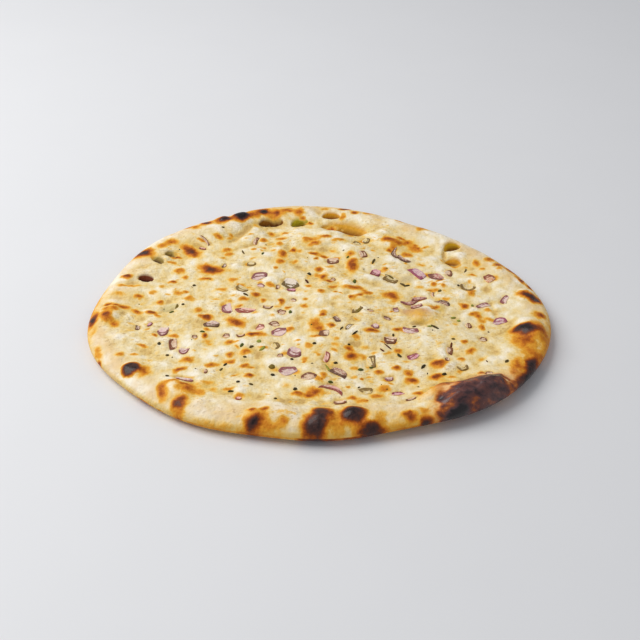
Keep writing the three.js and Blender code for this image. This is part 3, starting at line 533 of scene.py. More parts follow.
class Dough:
    """The form of the bread, worked out from the dough settings. All its lengths are millimetres."""

    STEPS = 1440

    def __init__(self, settings):
        self.thickness = settings.thickness / MM
        self.rim_height = settings.rim_height / MM
        self.rim_breadth = settings.rim_breadth / MM
        self.edge_height = settings.edge_height / MM
        self.undercut = settings.undercut / MM
        angle = np.linspace(0, 2 * np.pi, self.STEPS, endpoint=False)
        radius = OUTLINE_RADIUS + waves(angle, OUTLINE_WAVES)
        x, y = radius * np.cos(angle), radius * np.sin(angle)
        x = (x - (x.min() + x.max()) / 2) * settings.length / MM / np.ptp(x)
        y = (y - (y.min() + y.max()) / 2) * settings.width / MM / np.ptp(y)
        bearing = np.arctan2(y, x)
        order = np.argsort(bearing)
        self.angles, self.radii = bearing[order], np.hypot(x, y)[order]
        self.broad = self.bumps(*BROAD_BUMPS)
        self.fine = self.bumps(*FINE_BUMPS)
        self.freckles = self.spots(*FRECKLES)

    def radius(self, angle):
        """How far out the edge lies in a direction."""
        return np.interp((angle + np.pi) % (2 * np.pi) - np.pi, self.angles, self.radii, period=2 * np.pi)

    def inward(self, x, y):
        """Distance in from the edge."""
        return np.maximum(self.radius(np.arctan2(y, x)) - np.hypot(x, y), 0)

    def scattered(self, draws, spread):
        """A seeded place on the top, within a share of the way out to the edge."""
        angle = 2 * np.pi * draws.next()
        radius = spread * math.sqrt(draws.next()) * float(self.radius(angle))
        return radius * math.cos(angle), radius * math.sin(angle)

    def bumps(self, seed, count, smallest, largest, rise):
        """Seeded bumps and dimples spread over the top."""
        draws = Draws(seed)
        made = []
        for _ in range(count):
            place = self.scattered(draws, BUMP_SPREAD)
            size = draws.between(smallest, largest)
            made.append((*place, size, rise * (2 * draws.next() - DIMPLE_SHARE)))
        return made

    def spots(self, seed, count, shortest, longest, mildest, strongest):
        """Seeded golden freckles, most of them long from end to end of the bread."""
        draws = Draws(seed)
        made = []
        for _ in range(count):
            place = self.scattered(draws, FRECKLE_SPREAD)
            length = draws.between(shortest, longest)
            width = length * draws.between(*FRECKLE_WIDTHS)
            heat = mildest + (strongest - mildest) * draws.next() ** FRECKLE_MILDNESS
            turn = draws.between(-FRECKLE_TURN, FRECKLE_TURN)
            made.append((*place, length, width, turn, heat))
        return made

    def curl(self, angle, inward):
        """How far the rim has lifted off the surface under it."""
        rise = 0
        for place, spread, height in CURLS:
            away = degrees_away(np.degrees(angle), place)
            rise = rise + height * np.exp(-((away / spread) ** 2))
        return rise * smooth(1 - inward / LIFT_REACH)

    def top(self, x, y, folded=True):
        """Height of the top, with or without its folds."""
        x, y = np.asarray(x, float), np.asarray(y, float)
        angle = np.arctan2(y, x)
        inward = self.inward(x, y)
        crest = self.rim_height + waves(angle, RIM_HEIGHT_WAVES)
        breadth = self.rim_breadth + waves(angle, RIM_BREADTH_WAVES)
        crest_inward = CREST_SHARE * breadth
        to_crest = np.clip(1 - inward / crest_inward, 0, 1)
        outer = self.edge_height + (crest - self.edge_height) * np.sqrt(1 - to_crest**2)
        down = np.clip((inward - crest_inward) / (breadth - crest_inward), 0, 1)
        inner = self.thickness + (crest - self.thickness) * (0.5 + 0.5 * np.cos(np.pi * down))
        height = np.where(inward < crest_inward, outer, inner)
        relief = np.zeros_like(height)
        for *oval, rise, full in BLISTERS + DIMPLES + MOUNDS:
            out = np.minimum(reach(x, y, oval), 1)
            relief += rise * (1 - out**full) ** 2
        for *oval, depth, back, _ in FOLDS if folded else ():
            relief -= depth * fold_depth(x, y, oval, back)
        for px, py, size, rise in self.broad + self.fine:
            relief += rise * np.exp(-((x - px) ** 2 + (y - py) ** 2) / size**2)
        relief += self.detail(x, y)
        held = 1 - (1 - np.clip(inward / self.undercut, 0, 1)) ** 2
        return height + relief * held + self.curl(angle, inward)

    def detail(self, x, y):
        """Swells and crinkles of the skin, raised browned spots, creases, wrinkles and onion seats."""
        skin = layers(x, y, SKIN_SWELLS)
        for *oval, heat in BROWNED_MARKS:
            skin += SPOT_RISE * heat * np.exp(-SPOT_FALL * reach(x, y, oval, 0.5) ** 2)
        for *oval, rise in CREASES + LUMPS:
            skin += rise * np.exp(-reach(x, y, oval) ** 2)
        on_blister = smooth(WRINKLED_REACH - reach_of_large_blister(x, y))
        bent = y - WRINKLE_SLOPE * x + layers(x, y, WRINKLE_BENDS)
        ridge = 1 - 2 * np.abs(mottle(x * WRINKLE_STRETCH, bent, WRINKLE_WIDTH, WRINKLE_SEED))
        skin += on_blister * (WRINKLE_RISE * ridge - WRINKLE_SINK)
        for *oval, _ in ONION_PIECES:
            skin -= SEAT_DEPTH * np.exp(-(reach(x, y, oval, SEAT_SHARE, SEAT_MARGIN) ** 4))
        return skin

    def underside(self, x, y):
        """Height of the underside: flat in the middle and rounded up to the edge."""
        inward = self.inward(x, y)
        to_edge = 1 - np.clip(inward / self.undercut, 0, 1)
        hollows = HOLLOW_RISE * np.clip(layers(x, y, UNDER_HOLLOWS) - HOLLOW_START, 0, 1)
        rounded = self.edge_height * (1 - np.sqrt(1 - to_edge**2))
        return rounded + hollows * (1 - to_edge) + self.curl(np.arctan2(y, x), inward)

    def heat(self, x, y, under):
        """How baked the surface is: 0 is pale dough, 0.5 orange brown and 1 black."""
        wx, wy = x + layers(x, y, MARK_SHIFTS_X), y + layers(x, y, MARK_SHIFTS_Y)
        cubes = np.zeros_like(wx)
        for *oval, heat in BROWNED_MARKS:
            out = reach(wx, wy, oval, MARK_SHARE)
            cubes += (MARK_HEAT * heat * np.exp(-MARK_FALL * out**MARK_SHARPNESS)) ** 3
            cubes += (HALO_HEAT * np.exp(-HALO_FALL * out**2)) ** 3
        for *oval, heat in self.freckles:
            cubes += (heat * np.exp(-FRECKLE_FALL * reach(wx, wy, oval, 0.5) ** 2)) ** 3
        for *oval, heat, sharp in SCORCHED_MARKS:
            cubes += (heat * np.exp(-SCORCH_FALL * reach(wx, wy, oval, 0.5) ** sharp)) ** 3
        marks = np.cbrt(np.maximum(cubes, 0))
        inward = self.inward(x, y)
        angle = np.degrees(np.arctan2(y, x))
        golden = EDGE_HEAT * np.exp(-inward / EDGE_HEAT_REACH)
        for place, spread, depth, heat in GOLDEN_STRETCHES:
            golden = golden + heat * np.exp(-((degrees_away(angle, place) / spread) ** 2) - inward / depth)
        patchy = GOLDEN_BASE + GOLDEN_SWING * layers(x, y, RIM_UNEVENNESS, 0.5)
        golden = golden * np.clip(patchy, 0, GOLDEN_MOST)
        if not under:
            return np.cbrt(marks**3 + golden**3)
        patches = PATCH_HEAT * np.clip(layers(x, y, UNDER_PATCHES), 0, 1) ** PATCH_SHARPNESS
        spots = UNDER_SPOT_HEAT * np.clip(layers(x, y, UNDER_SPOTS) - UNDER_SPOT_START, 0, 1)
        scorched = marks * np.exp(-inward / SCORCH_WRAP)
        return np.cbrt(scorched**3 + (UNDER_HEAT + patches + spots) ** 3 + (UNDER_RIM_GAIN * golden) ** 3)

    def pocket(self, x, y):
        """How deep a place lies in the folds, how strong the tinted patches are, and the tone of the
        nearest; the crust darkens deep folds as painted shade, and the patches are partly painted shade.
        """
        deep = np.zeros_like(x)
        tone = np.tile((*FOLD_TONES["y"], 1.0), (len(x), 1))
        for *oval, _, back, name in FOLDS:
            share = fold_depth(x, y, oval, back)
            tone[share > deep] = (*FOLD_TONES[name], 1)
            deep = np.maximum(deep, share * (FAINT_FOLD if name == "e" else 1))
        for *oval, strength, name in TINTED_PATCHES:
            share = strength * (1 - np.minimum(reach(x, y, oval), 1) ** 2)
            tone[share > deep] = (*FOLD_TONES[name], 1)
            deep = np.maximum(deep, share)
        return deep, tone

    def swell_for_painted_shading(self, x, y):
        """How far the skin stands over its wide neighbourhood, from 0 in a dip to 1 on a lump, which the
        crust turns into painted shade and painted light.
        """
        fine = self.top(x, y, False)
        wide = sum(self.top(x + SWELL_REACH * math.cos(turn), y + SWELL_REACH * math.sin(turn), False)
                   for turn in range(SWELL_PLACES)) / SWELL_PLACES
        return np.clip(0.5 + SWELL_GAIN * (fine - wide), 0, 1)


def stitch(faces, inner, outer, upward):
    """Joins two rings of points with triangles, whatever their counts."""
    inside, outside = 0, 0
    while inside < len(inner) or outside < len(outer):
        a, b = inner[inside % len(inner)], outer[outside % len(outer)]
        outer_next = (outside + 1) / len(outer) <= (inside + 1) / len(inner)
        if outside < len(outer) and (outer_next or inside >= len(inner)):
            outside += 1
            c = outer[outside % len(outer)]
        else:
            inside += 1
            c = inner[inside % len(inner)]
        faces.append((a, b, c) if upward else (a, c, b))


def bread_mesh(dough, settings):
    """The bread as one closed surface, with the marks of its baking kept on the points."""
    places, faces = [], []

    def ring(count, share, inset, under):
        angle = np.arange(count) * (2 * np.pi / count)
        radius = share * (dough.radius(angle) - inset)
        x, y = radius * np.cos(angle), radius * np.sin(angle)
        start = sum(len(p[0]) for p in places)
        places.append((x, y, np.full(count, under)))
        return range(start, start + count)

    rings, low_rings = settings.rings, settings.underside_rings
    top = [ring(1, 0, 0, False)]
    top += [ring(6 * i, i / rings, RIM_INSET, False) for i in range(1, rings + 1)]
    top += [ring(6 * rings, 1, inset, False) for inset in TOP_INSETS]
    edge = ring(6 * rings, 1, 0, True)
    top.append(edge)
    below = [ring(6 * rings, 1, inset, True) for inset in UNDER_INSETS]
    below += [ring(6 * i, i / low_rings, dough.undercut, True) for i in range(low_rings, 0, -1)]
    below.append(ring(1, 0, 0, True))
    for inner, outer in zip(top, top[1:]):
        stitch(faces, inner, outer, True)
    for outer, inner in zip([edge] + below, below):
        stitch(faces, inner, outer, False)
    x, y, under = (np.concatenate([p[i] for p in places]) for i in range(3))
    z = np.where(under, dough.underside(x, y), dough.top(x, y))
    mesh = bpy.data.meshes.new("kulcha_dough")
    mesh.from_pydata((np.stack([x, y, z], 1) * MM).tolist(), [], faces)
    deep, tone = dough.pocket(x, y)
    write_values(mesh, "browning", np.where(under, dough.heat(x, y, True), dough.heat(x, y, False)))
    write_values(mesh, "pocket", np.where(under, 0, deep))
    write_colours(mesh, "fold", tone)
    write_values(mesh, "rim", np.where(under, 1, smooth(1 - dough.inward(x, y) / RIM_TONE_REACH)))
    # Height over the neighbourhood, which the crust turns into painted shade in dips and painted light on
    # lumps
    write_values(mesh, "swell_for_painted_shading", np.where(under, 0.5, dough.swell_for_painted_shading(x, y)))
    write_values(mesh, "charred", smooth(CHAR_START - CHAR_FALL * reach_of_large_blister(x, y)))
    write_values(mesh, "underside", under.astype(float))
    return mesh


def write_values(mesh, name, values):
    """Keeps one number for each point of a mesh."""
    layer = mesh.attributes.new(name, "FLOAT", "POINT")
    layer.data.foreach_set("value", np.asarray(values, np.float32))


def write_colours(mesh, name, colours):
    """Keeps one colour for each point of a mesh."""
    layer = mesh.attributes.new(name, "FLOAT_COLOR", "POINT")
    layer.data.foreach_set("color", np.asarray(colours, np.float32).ravel())


def place_piece(name, mesh, material):
    """Puts a finished mesh in the scene as a piece that rides on the bread's body."""
    mesh.materials.append(material)
    mesh.polygons.foreach_set("use_smooth", [True] * len(mesh.polygons))
    mesh.update()
    piece = bpy.data.objects.new(name, mesh)
    bpy.context.scene.collection.objects.link(piece)
    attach(piece, "root")
    return piece


# Shared node groups and materials


def node(tree, kind, **values):
    """Adds a node, sets its properties and the values of its named inputs."""
    made = tree.nodes.new(kind)
    for name, value in values.items():
        if hasattr(made, name):
            setattr(made, name, value)
        else:
            made.inputs[name.replace("_", " ")].default_value = value
    return made


def lay_out(tree):
    """Stands the nodes in columns, each to the left of every node that it feeds."""
    steps = {made.name: 0 for made in tree.nodes}
    moved = True
    while moved:
        moved = False
        for link in tree.links:
            behind = steps[link.to_node.name] + 1
            if steps[link.from_node.name] < behind:
                steps[link.from_node.name] = behind
                moved = True
    filled = {}
    for made in tree.nodes:
        column = steps[made.name]
        row = filled.get(column, 0)
        made.location = (-NODE_COLUMN * column, -NODE_ROW * row)
        filled[column] = row + 1


def mottle_group():
    """A shader node group that turns a place into an uneven value from 0 to 1."""
    name = "Baked mottle"
    if name in bpy.data.node_groups:
        return bpy.data.node_groups[name]
    group = bpy.data.node_groups.new(name, "ShaderNodeTree")
    group.interface.new_socket("Place", in_out="INPUT", socket_type="NodeSocketVector")
    for label, usual in (("Size mm", 3), ("Crispness", 1)):
        socket = group.interface.new_socket(label, in_out="INPUT", socket_type="NodeSocketFloat")
        socket.default_value = usual
    group.interface.new_socket("Mottle", in_out="OUTPUT", socket_type="NodeSocketFloat")
    start = node(group, "NodeGroupInput")
    per_metre = node(group, "ShaderNodeMath", operation="DIVIDE")
    per_metre.inputs[0].default_value = 1 / MM
    noise = node(group, "ShaderNodeTexNoise", Detail=3, Roughness=0.55)
    centred = node(group, "ShaderNodeMath", operation="SUBTRACT")
    centred.inputs[1].default_value = 0.5
    sharper = node(group, "ShaderNodeMath", operation="MULTIPLY_ADD", use_clamp=True)
    sharper.inputs[2].default_value = 0.5
    end = node(group, "NodeGroupOutput")
    link = group.links.new
    link(start.outputs["Place"], noise.inputs["Vector"])
    link(start.outputs["Size mm"], per_metre.inputs[1])
    link(per_metre.outputs[0], noise.inputs["Scale"])
    link(noise.outputs["Fac"], centred.inputs[0])
    link(centred.outputs[0], sharper.inputs[0])
    link(start.outputs["Crispness"], sharper.inputs[1])
    link(sharper.outputs[0], end.inputs["Mottle"])
    lay_out(group)
    return group


class Recipe:
    """A material being built: its tree, the shader, and short ways to add nodes."""

    def __init__(self, name):
        self.material = bpy.data.materials.new(name)
        self.material.use_nodes = True
        self.tree = self.material.node_tree
        self.shader = self.tree.nodes["Principled BSDF"]
        self.place = node(self.tree, "ShaderNodeTexCoord").outputs["Object"]

    def feed(self, socket, value):
        """Gives a socket its value: another node's output, a colour or a number."""
        if isinstance(value, bpy.types.NodeSocket):
            self.tree.links.new(value, socket)
        elif isinstance(value, tuple):
            socket.default_value = (*value, 1)
        else:
            socket.default_value = value

    def mottle(self, size, crispness, place=None):
        made = node(self.tree, "ShaderNodeGroup", node_tree=mottle_group())
        self.feed(made.inputs["Size mm"], size)
        self.feed(made.inputs["Crispness"], crispness)
        self.feed(made.inputs["Place"], place or self.place)
        return made.outputs["Mottle"]

    def streaks(self, size, squeeze):
        """Mottle that is drawn out along the bread."""
        squeezed = node(self.tree, "ShaderNodeMapping", Scale=squeeze)
        self.feed(squeezed.inputs["Vector"], self.place)
        return self.mottle(size, 2.6, squeezed.outputs["Vector"])

    def stored(self, name, output="Fac"):
        """What the mesh keeps under a name: its number, or its colour."""
        return node(self.tree, "ShaderNodeAttribute", attribute_name=name).outputs[output]

    def ramp(self, value, stops):
        made = node(self.tree, "ShaderNodeValToRGB")
        points = made.color_ramp.elements
        points[0].position, points[0].color = stops[0][0], (*stops[0][1], 1)
        points[1].position, points[1].color = stops[-1][0], (*stops[-1][1], 1)
        for position, colour in stops[1:-1]:
            points.new(position).color = (*colour, 1)
        self.feed(made.inputs["Fac"], value)
        return made.outputs["Color"]

    def math(self, operation, *values):
        made = node(self.tree, "ShaderNodeMath", operation=operation)
        for socket, value in zip(made.inputs, values):
            self.feed(socket, value)
        return made.outputs[0]

    def add(self, first, second):
        return self.math("ADD", first, second)

    def less(self, first, second):
        return self.math("SUBTRACT", first, second)

    def times(self, first, second):
        return self.math("MULTIPLY", first, second)

    def larger(self, first, second):
        return self.math("MAXIMUM", first, second)

    def fit(self, value, low, high, to_low=0, to_high=1):
        """Moves a value from one range to another and holds it there."""
        made = node(self.tree, "ShaderNodeMapRange", clamp=True, From_Min=low, From_Max=high, To_Min=to_low,
                    To_Max=to_high)
        self.feed(made.inputs["Value"], value)
        return made.outputs["Result"]

    def blend(self, share, first, second, way="MIX"):
        made = node(self.tree, "ShaderNodeMix", data_type="RGBA", blend_type=way)
        for socket, value in zip((made.inputs[0], made.inputs[6], made.inputs[7]), (share, first, second)):
            self.feed(socket, value)
        return made.outputs[2]

    def bump(self, height, distance, strength):
        made = node(self.tree, "ShaderNodeBump", Strength=strength, Distance=distance)
        self.feed(made.inputs["Height"], height)
        return made.outputs["Normal"]

    def finished(self, **inputs):
        """Feeds the shader's named inputs, lays the nodes out and gives the material."""
        for name, value in inputs.items():
            self.feed(self.shader.inputs[name.replace("_", " ")], value)
        lay_out(self.tree)
        return self.material


def crust_material(settings):
    """Baked dough: pale, creamy and buttery patches with painted light on lumps and painted shade in dips
    and folds, browned through to black by the stored heat.
    """
    recipe = Recipe("kulcha_crust")
    add, less, times, larger = recipe.add, recipe.less, recipe.times, recipe.larger
    fit, blend, stored = recipe.fit, recipe.blend, recipe.stored
    heat, pocket, charred = stored("browning"), stored("pocket"), stored("charred")
    broad, close, grain = recipe.mottle(13, 2.4), recipe.mottle(3.6, 2.4), recipe.mottle(1.2, 2.0)
    clumps = fit(recipe.mottle(19, 2.4), 0.3, 0.75, 0.1)

    # Pale dough in random patches, palest through creamy to buttery, tanner towards the rim; the lumps are
    # made paler as painted light and the dips darker as painted shade
    mottled = add(times(broad, 0.34), add(times(close, 0.32), times(grain, 0.1)))
    patches = add(mottled, fit(stored("swell_for_painted_shading"), 0, 1, 0.6, -0.16))
    inner = recipe.ramp(patches, (
        (0.26, tuple(settings.floury_and_lump_light)), (0.52, tuple(settings.cream)), (0.78, tuple(settings.butter_and_dip_shade)),
        (0.97, shade(206, 168, 100)),
    ))
    tanned = times(fit(stored("rim"), 0, 0.7), fit(broad, 0.25, 0.75, 0.05, 0.85))
    crumb = blend(tanned, inner, shade(232, 198, 144))

    # Fine toasted scatter, on the top alone and outside the folds
    toasted = times(fit(recipe.streaks(4.4, (1, 1.7, 1)), 0.42, 0.95, 0, 0.24), clumps)
    bare = larger(stored("underside"), fit(pocket, 0.03, 0.25))
    scatter = times(toasted, less(1, bare))

    # Browning, from golden through orange and brown to black
    uneven = add(times(less(close, 0.5), 0.22), times(less(grain, 0.5), 0.1))
    calm = recipe.math("MULTIPLY_ADD", charred, -0.6, 1)
    spread = add(heat, times(uneven, times(fit(heat, 0.08, 0.45, 0.2), calm)))
    baked = larger(spread, scatter)
    toast = recipe.ramp(baked, (
        (0.08, tuple(settings.golden)), (0.19, shade(240, 193, 86)), (0.31, tuple(settings.orange)),
        (0.43, shade(207, 124, 30)), (0.54, shade(170, 88, 24)), (0.64, tuple(settings.brown)),
        (0.74, shade(96, 50, 32)), (0.86, shade(68, 42, 36)), (1.0, tuple(settings.black)),
    ))

    # Purplish black skin of the large blister, with drawn-out streaks that darken and lighten it: partly
    # its own streaky char, partly painted shade and painted highlight of its wrinkles
    wrinkle_shaded = add(spread, times(less(recipe.streaks(4.6, (0.7, 1.8, 1)), 0.5), 0.34))
    charcoal = recipe.ramp(wrinkle_shaded, (
        (0.26, shade(236, 190, 130)), (0.4, shade(222, 150, 84)), (0.52, shade(176, 98, 50)),
        (0.66, tuple(settings.blister)), (0.78, shade(88, 56, 54)), (0.88, shade(60, 42, 44)),
        (0.98, tuple(settings.black)),
    ))
    skin = blend(charred, toast, charcoal)

    # Folds in the tones of their moist dough, darkened towards the lip as painted shade, small dark flecks
    # as painted shade of little hollows in the pale dough, then the browned skin over all
    shaded = blend(fit(pocket, 0.4, 0.85, 0, 0.85), stored("fold", "Color"), shade(128, 88, 30), "MULTIPLY")
    # Small dark flecks of painted shade, standing for little hollows that the form does not have
    pit_shade = fit(recipe.streaks(1.9, (1, 1.7, 1)), 0.66, 0.9, 0, 0.5)
    speckled_with_pit_shade = blend(times(pit_shade, clumps), crumb, shade(168, 126, 62))
    dough_with_fold_shade = blend(fit(pocket, 0.03, 0.3), speckled_with_pit_shade, shaded)
    colour = blend(fit(baked, 0.08, 0.27), dough_with_fold_shade, skin)

    # Sheen of the buttery dough and of the scorched skin, and the fine relief
    sheen = less(fit(baked, 0.6, 1.0, 0.56, 0.42), times(patches, 0.12))
    scorched = times(fit(spread, 0.64, 0.86), larger(charred, 0.36))
    pores = node(recipe.tree, "ShaderNodeTexVoronoi", Scale=420)
    recipe.feed(pores.inputs["Vector"], recipe.place)
    pitted = times(fit(pores.outputs["Distance"], 0, 0.5), 0.1)
    height = add(times(grain, 0.22), add(close, pitted))
    return recipe.finished(
        Base_Color=colour, Roughness=sheen, Specular_IOR_Level=0.12, Coat_Weight=times(scorched, 0.8),
        Coat_Roughness=0.18, Normal=recipe.bump(height, 0.45 * MM, 0.9))


def onion_material():
    """Cooked onion: pale flesh with faint layer lines, dark skin along one side, moist."""
    recipe = Recipe("kulcha_onion")
    uneven = recipe.mottle(1.3, 2.2)
    ragged = recipe.times(recipe.less(uneven, 0.5), 0.7)
    share = recipe.fit(recipe.add(recipe.stored("skinned"), ragged), 0.3, 0.6)
    clear = recipe.fit(recipe.mottle(0.9, 1.4), 0.4, 0.62, 0, 0.62)
    layered = recipe.blend(clear, recipe.stored("flesh", "Color"), shade(242, 228, 200))
    colour = recipe.blend(share, layered, recipe.stored("skin", "Color"))
    dulled = recipe.blend(recipe.times(uneven, 0.2), colour, shade(226, 196, 140))
    return recipe.finished(
        Base_Color=dulled, Roughness=0.34, Specular_IOR_Level=0.2,
        Normal=recipe.bump(uneven, 0.25 * MM, 0.6))


def herb_material():
    """Wilted chopped herb: each fleck's own green or near black, darker in its creases."""
    recipe = Recipe("kulcha_herb")
    uneven = recipe.mottle(0.8, 1.8)
    colour = recipe.blend(recipe.times(uneven, 0.5), recipe.stored("leaf", "Color"), shade(40, 36, 20))
    return recipe.finished(
        Base_Color=colour, Roughness=0.5, Specular_IOR_Level=0.1,
        Normal=recipe.bump(uneven, 0.15 * MM, 0.5))


def floor_material(settings):
    """A plain pale floor with the faintest unevenness."""
    recipe = Recipe("pale_floor")
    dimmer = tuple(0.97 * part for part in settings.floor)
    colour = recipe.blend(recipe.mottle(60, 1), tuple(settings.floor), dimmer)
    return recipe.finished(Base_Color=colour, Roughness=0.6)


# Toppings


def knife_cut(angle, corners, jag, draws):
    """How far out a roughly chopped outline lies at each angle."""
    drift = CORNER_DRIFT
    turns = [(i + draws.between(-drift, drift)) * 2 * math.pi / corners for i in range(corners)]
    stretch = FOUR_CORNER_REACH if corners == 4 else MANY_CORNER_REACH
    reaches = [draws.between(1 - jag, 1 + OUTWARD_JAG * jag) * stretch for _ in turns]
    out = np.ones_like(angle)
    for i in range(corners):
        following = (i + 1) % corners
        near, far = turns[i], turns[following] + (2 * math.pi if i == corners - 1 else 0)
        here = (angle - near) % (2 * math.pi)
        edge = reaches[i] * reaches[following] * math.sin(far - near) / (
            reaches[i] * np.sin(here) + reaches[following] * np.sin(far - near - here))
        out = np.where(here < far - near, edge, out)
    return (1 - ROUNDING) * out + ROUNDING


def slab(dough, row, levels, draws, points, corners, jag, bow=0.3, grow=0.5):
    """One topping: a chopped slab that follows the dough. Returns its points, faces and marks."""
    px, py, length, width, turn = row[:5]
    cos, sin = math.cos(math.radians(turn)), math.sin(math.radians(turn))
    angle = np.arange(points) * (2 * np.pi / points)
    cut = knife_cut((angle - math.pi / corners) % (2 * math.pi), corners, jag, draws)
    bend = draws.between(-bow, bow)
    flip = 1 if draws.next() > 0.5 else -1
    lean = draws.between(-LARGEST_LEAN, LARGEST_LEAN)
    wide = draws.next()
    inner = draws.between(*LAYER_PLACES)
    tilt_x = draws.between(-LARGEST_TILT, LARGEST_TILT)
    tilt_y = draws.between(-LARGEST_TILT, LARGEST_TILT)
    x, y, z, skinned, counts = [], [], [], [], []
    for share, rise in levels:
        around = angle if share else angle[:1]
        u, v = share * cut[:len(around)] * np.cos(around), share * cut[:len(around)] * np.sin(around)
        along, across = grow * length * u, grow * width * v
        across = across + bend * along**2 / length
        x.append(px + along * cos - across * sin)
        y.append(py + along * sin + across * cos)
        z.append(rise + tilt_x * (x[-1] - px) + tilt_y * (y[-1] - py))
        side = flip * v + lean * u
        edge = smooth((share - SKIN_START) / SKIN_FADE) * smooth(SKIN_SIDE + SKIN_LEAN * side)
        layer = LAYER_STRENGTH * np.exp(-(((side + 0.5 * u**2 - inner) / LAYER_WIDTH) ** 2))
        band = smooth((side - BAND_START) / BAND_FADE) if wide > BARE_SHARE else 0 * side
        skinned.append(np.maximum(np.maximum(edge, layer), band))
        counts.append(len(around))
    starts = np.cumsum([0] + counts)
    rings = [range(starts[i], starts[i + 1]) for i in range(len(counts))]
    faces = []
    for inner_ring, outer_ring in zip(rings, rings[1:]):
        stitch(faces, inner_ring, outer_ring, True)
    x, y, z = np.concatenate(x), np.concatenate(y), np.concatenate(z)
    return x, y, z + dough.top(x, y), faces, np.concatenate(skinned)


def joined(name, pieces):
    """Joins many small pieces into one mesh, in their order."""
    points, faces, start = [], [], 0
    for x, y, z, own, _ in pieces:
        points.append(np.stack([x, y, z], 1) * MM)
        faces += [tuple(start + i for i in face) for face in own]
        start += len(x)
    mesh = bpy.data.meshes.new(name)
    mesh.from_pydata(np.concatenate(points).tolist(), [], faces)
    return mesh


def painted(colour, piece):
    """One opaque colour for each point of a piece."""
    return [(*np.clip(colour, 0, 1), 1)] * len(piece[0])


def onion_mesh(dough):
    """All the pieces of onion as one mesh, each with its own flesh and skin."""
    draws = Draws(ONION_SEED)
    pieces, flesh, skin = [], [], []
    for row in ONION_PIECES:
        _, _, length, width, _, tone = row
        corners = 4 if length > LONG_PIECE * width else 4 + int(draws.between(0, MORE_CORNERS))
        bow = THIN_BOW if length > THIN_PIECE * width else BROAD_BOW
        piece = slab(
            dough, row, ONION_LEVELS, draws, points=28, corners=corners, jag=0.36, bow=bow, grow=0.6)
        pieces.append(piece)
        pale, dark = (np.array(part) * draws.between(*ONION_BRIGHTNESS) for part in ONION_TONES[tone])
        flesh += painted(pale, piece)
        skin += painted(dark, piece)
    mesh = joined("kulcha_onion", pieces)
    write_colours(mesh, "flesh", flesh)
    write_colours(mesh, "skin", skin)
    write_values(mesh, "skinned", np.concatenate([piece[4] for piece in pieces]))
    return mesh


def herb_mesh(dough):
    """The herb flecks and the fine specks between them as one mesh."""
    draws = Draws(SPECK_SEED)
    pieces, leaf = [], []
    for row in HERB_FLECKS:
        pieces.append(slab(dough, row, HERB_LEVELS, draws, points=14, corners=5, jag=0.4))
        leaf += painted(np.array(HERB_TONES[row[5]]) * draws.between(*HERB_BRIGHTNESS), pieces[-1])
    for _ in range(SPECK_COUNT):
        place = dough.scattered(draws, SPECK_SPREAD)
        width = draws.between(*SPECK_WIDTHS)
        row = (*place, width * draws.between(*SPECK_STRETCHES), width, draws.between(-90, 90))
        pieces.append(slab(dough, row, SPECK_LEVELS, draws, points=8, corners=4, jag=0.4))
        tone = SPECK_TONES[int(draws.between(0, len(SPECK_TONES) - 0.01))]
        leaf += painted(HERB_TONES[tone], pieces[-1])
    mesh = joined("kulcha_herbs", pieces)
    write_colours(mesh, "leaf", leaf)
    return mesh


# Settings that a user would change


def length_setting(name, description, default):
    """A length that the panel shows in the scene's own unit."""
    return bpy.props.FloatProperty(name=name, description=description, unit="LENGTH", default=default)


def colour_setting(name, description, red, green, blue):
    """A colour that the panel shows as a swatch."""
    return bpy.props.FloatVectorProperty(
        name=name, description=description, subtype="COLOR", default=shade(red, green, blue))


class KulchaDough(bpy.types.PropertyGroup):
    """Sizes and colours of the bread."""

    length: length_setting("Length", "Length of the oval", BREAD_BOX[1][0] - BREAD_BOX[0][0])
    width: length_setting("Width", "Width of the oval", BREAD_BOX[1][1] - BREAD_BOX[0][1])
    thickness: length_setting("Dough thickness", "Thickness inside the rim", 7 * MM)
    rim_height: length_setting("Rim height", "Mean height of the rim's crest", 9 * MM)
    rim_breadth: length_setting("Rim breadth", "How far in the rim reaches", 24 * MM)
    edge_height: length_setting("Edge height", "Height of the outermost line", 3.8 * MM)
    undercut: length_setting("Undercut", "How far in the rounded underside reaches", 6 * MM)
    rings: bpy.props.IntProperty(name="Rings", description="Rings of points over the top", default=128)
    underside_rings: bpy.props.IntProperty(
        name="Underside rings", description="Rings of points under the bread", default=48)
    # The palest and the buttery colours are also painted light on lumps and painted shade in dips
    floury_and_lump_light: colour_setting("Floury dough", "Palest dough", 251, 241, 218)
    cream: colour_setting("Creamy dough", "Most of the dough", 241, 223, 178)
    butter_and_dip_shade: colour_setting("Buttery dough", "Dough soaked with butter", 233, 202, 131)
    golden: colour_setting("Golden crust", "First browning", 247, 220, 136)
    orange: colour_setting("Orange brown crust", "Middle browning", 229, 160, 50)
    brown: colour_setting("Dark brown crust", "Late browning", 138, 66, 18)
    black: colour_setting("Charred crust", "Burnt skin of the blisters", 26, 17, 18)
    blister: colour_setting("Blister", "Scorched skin of the large blister", 110, 68, 60)


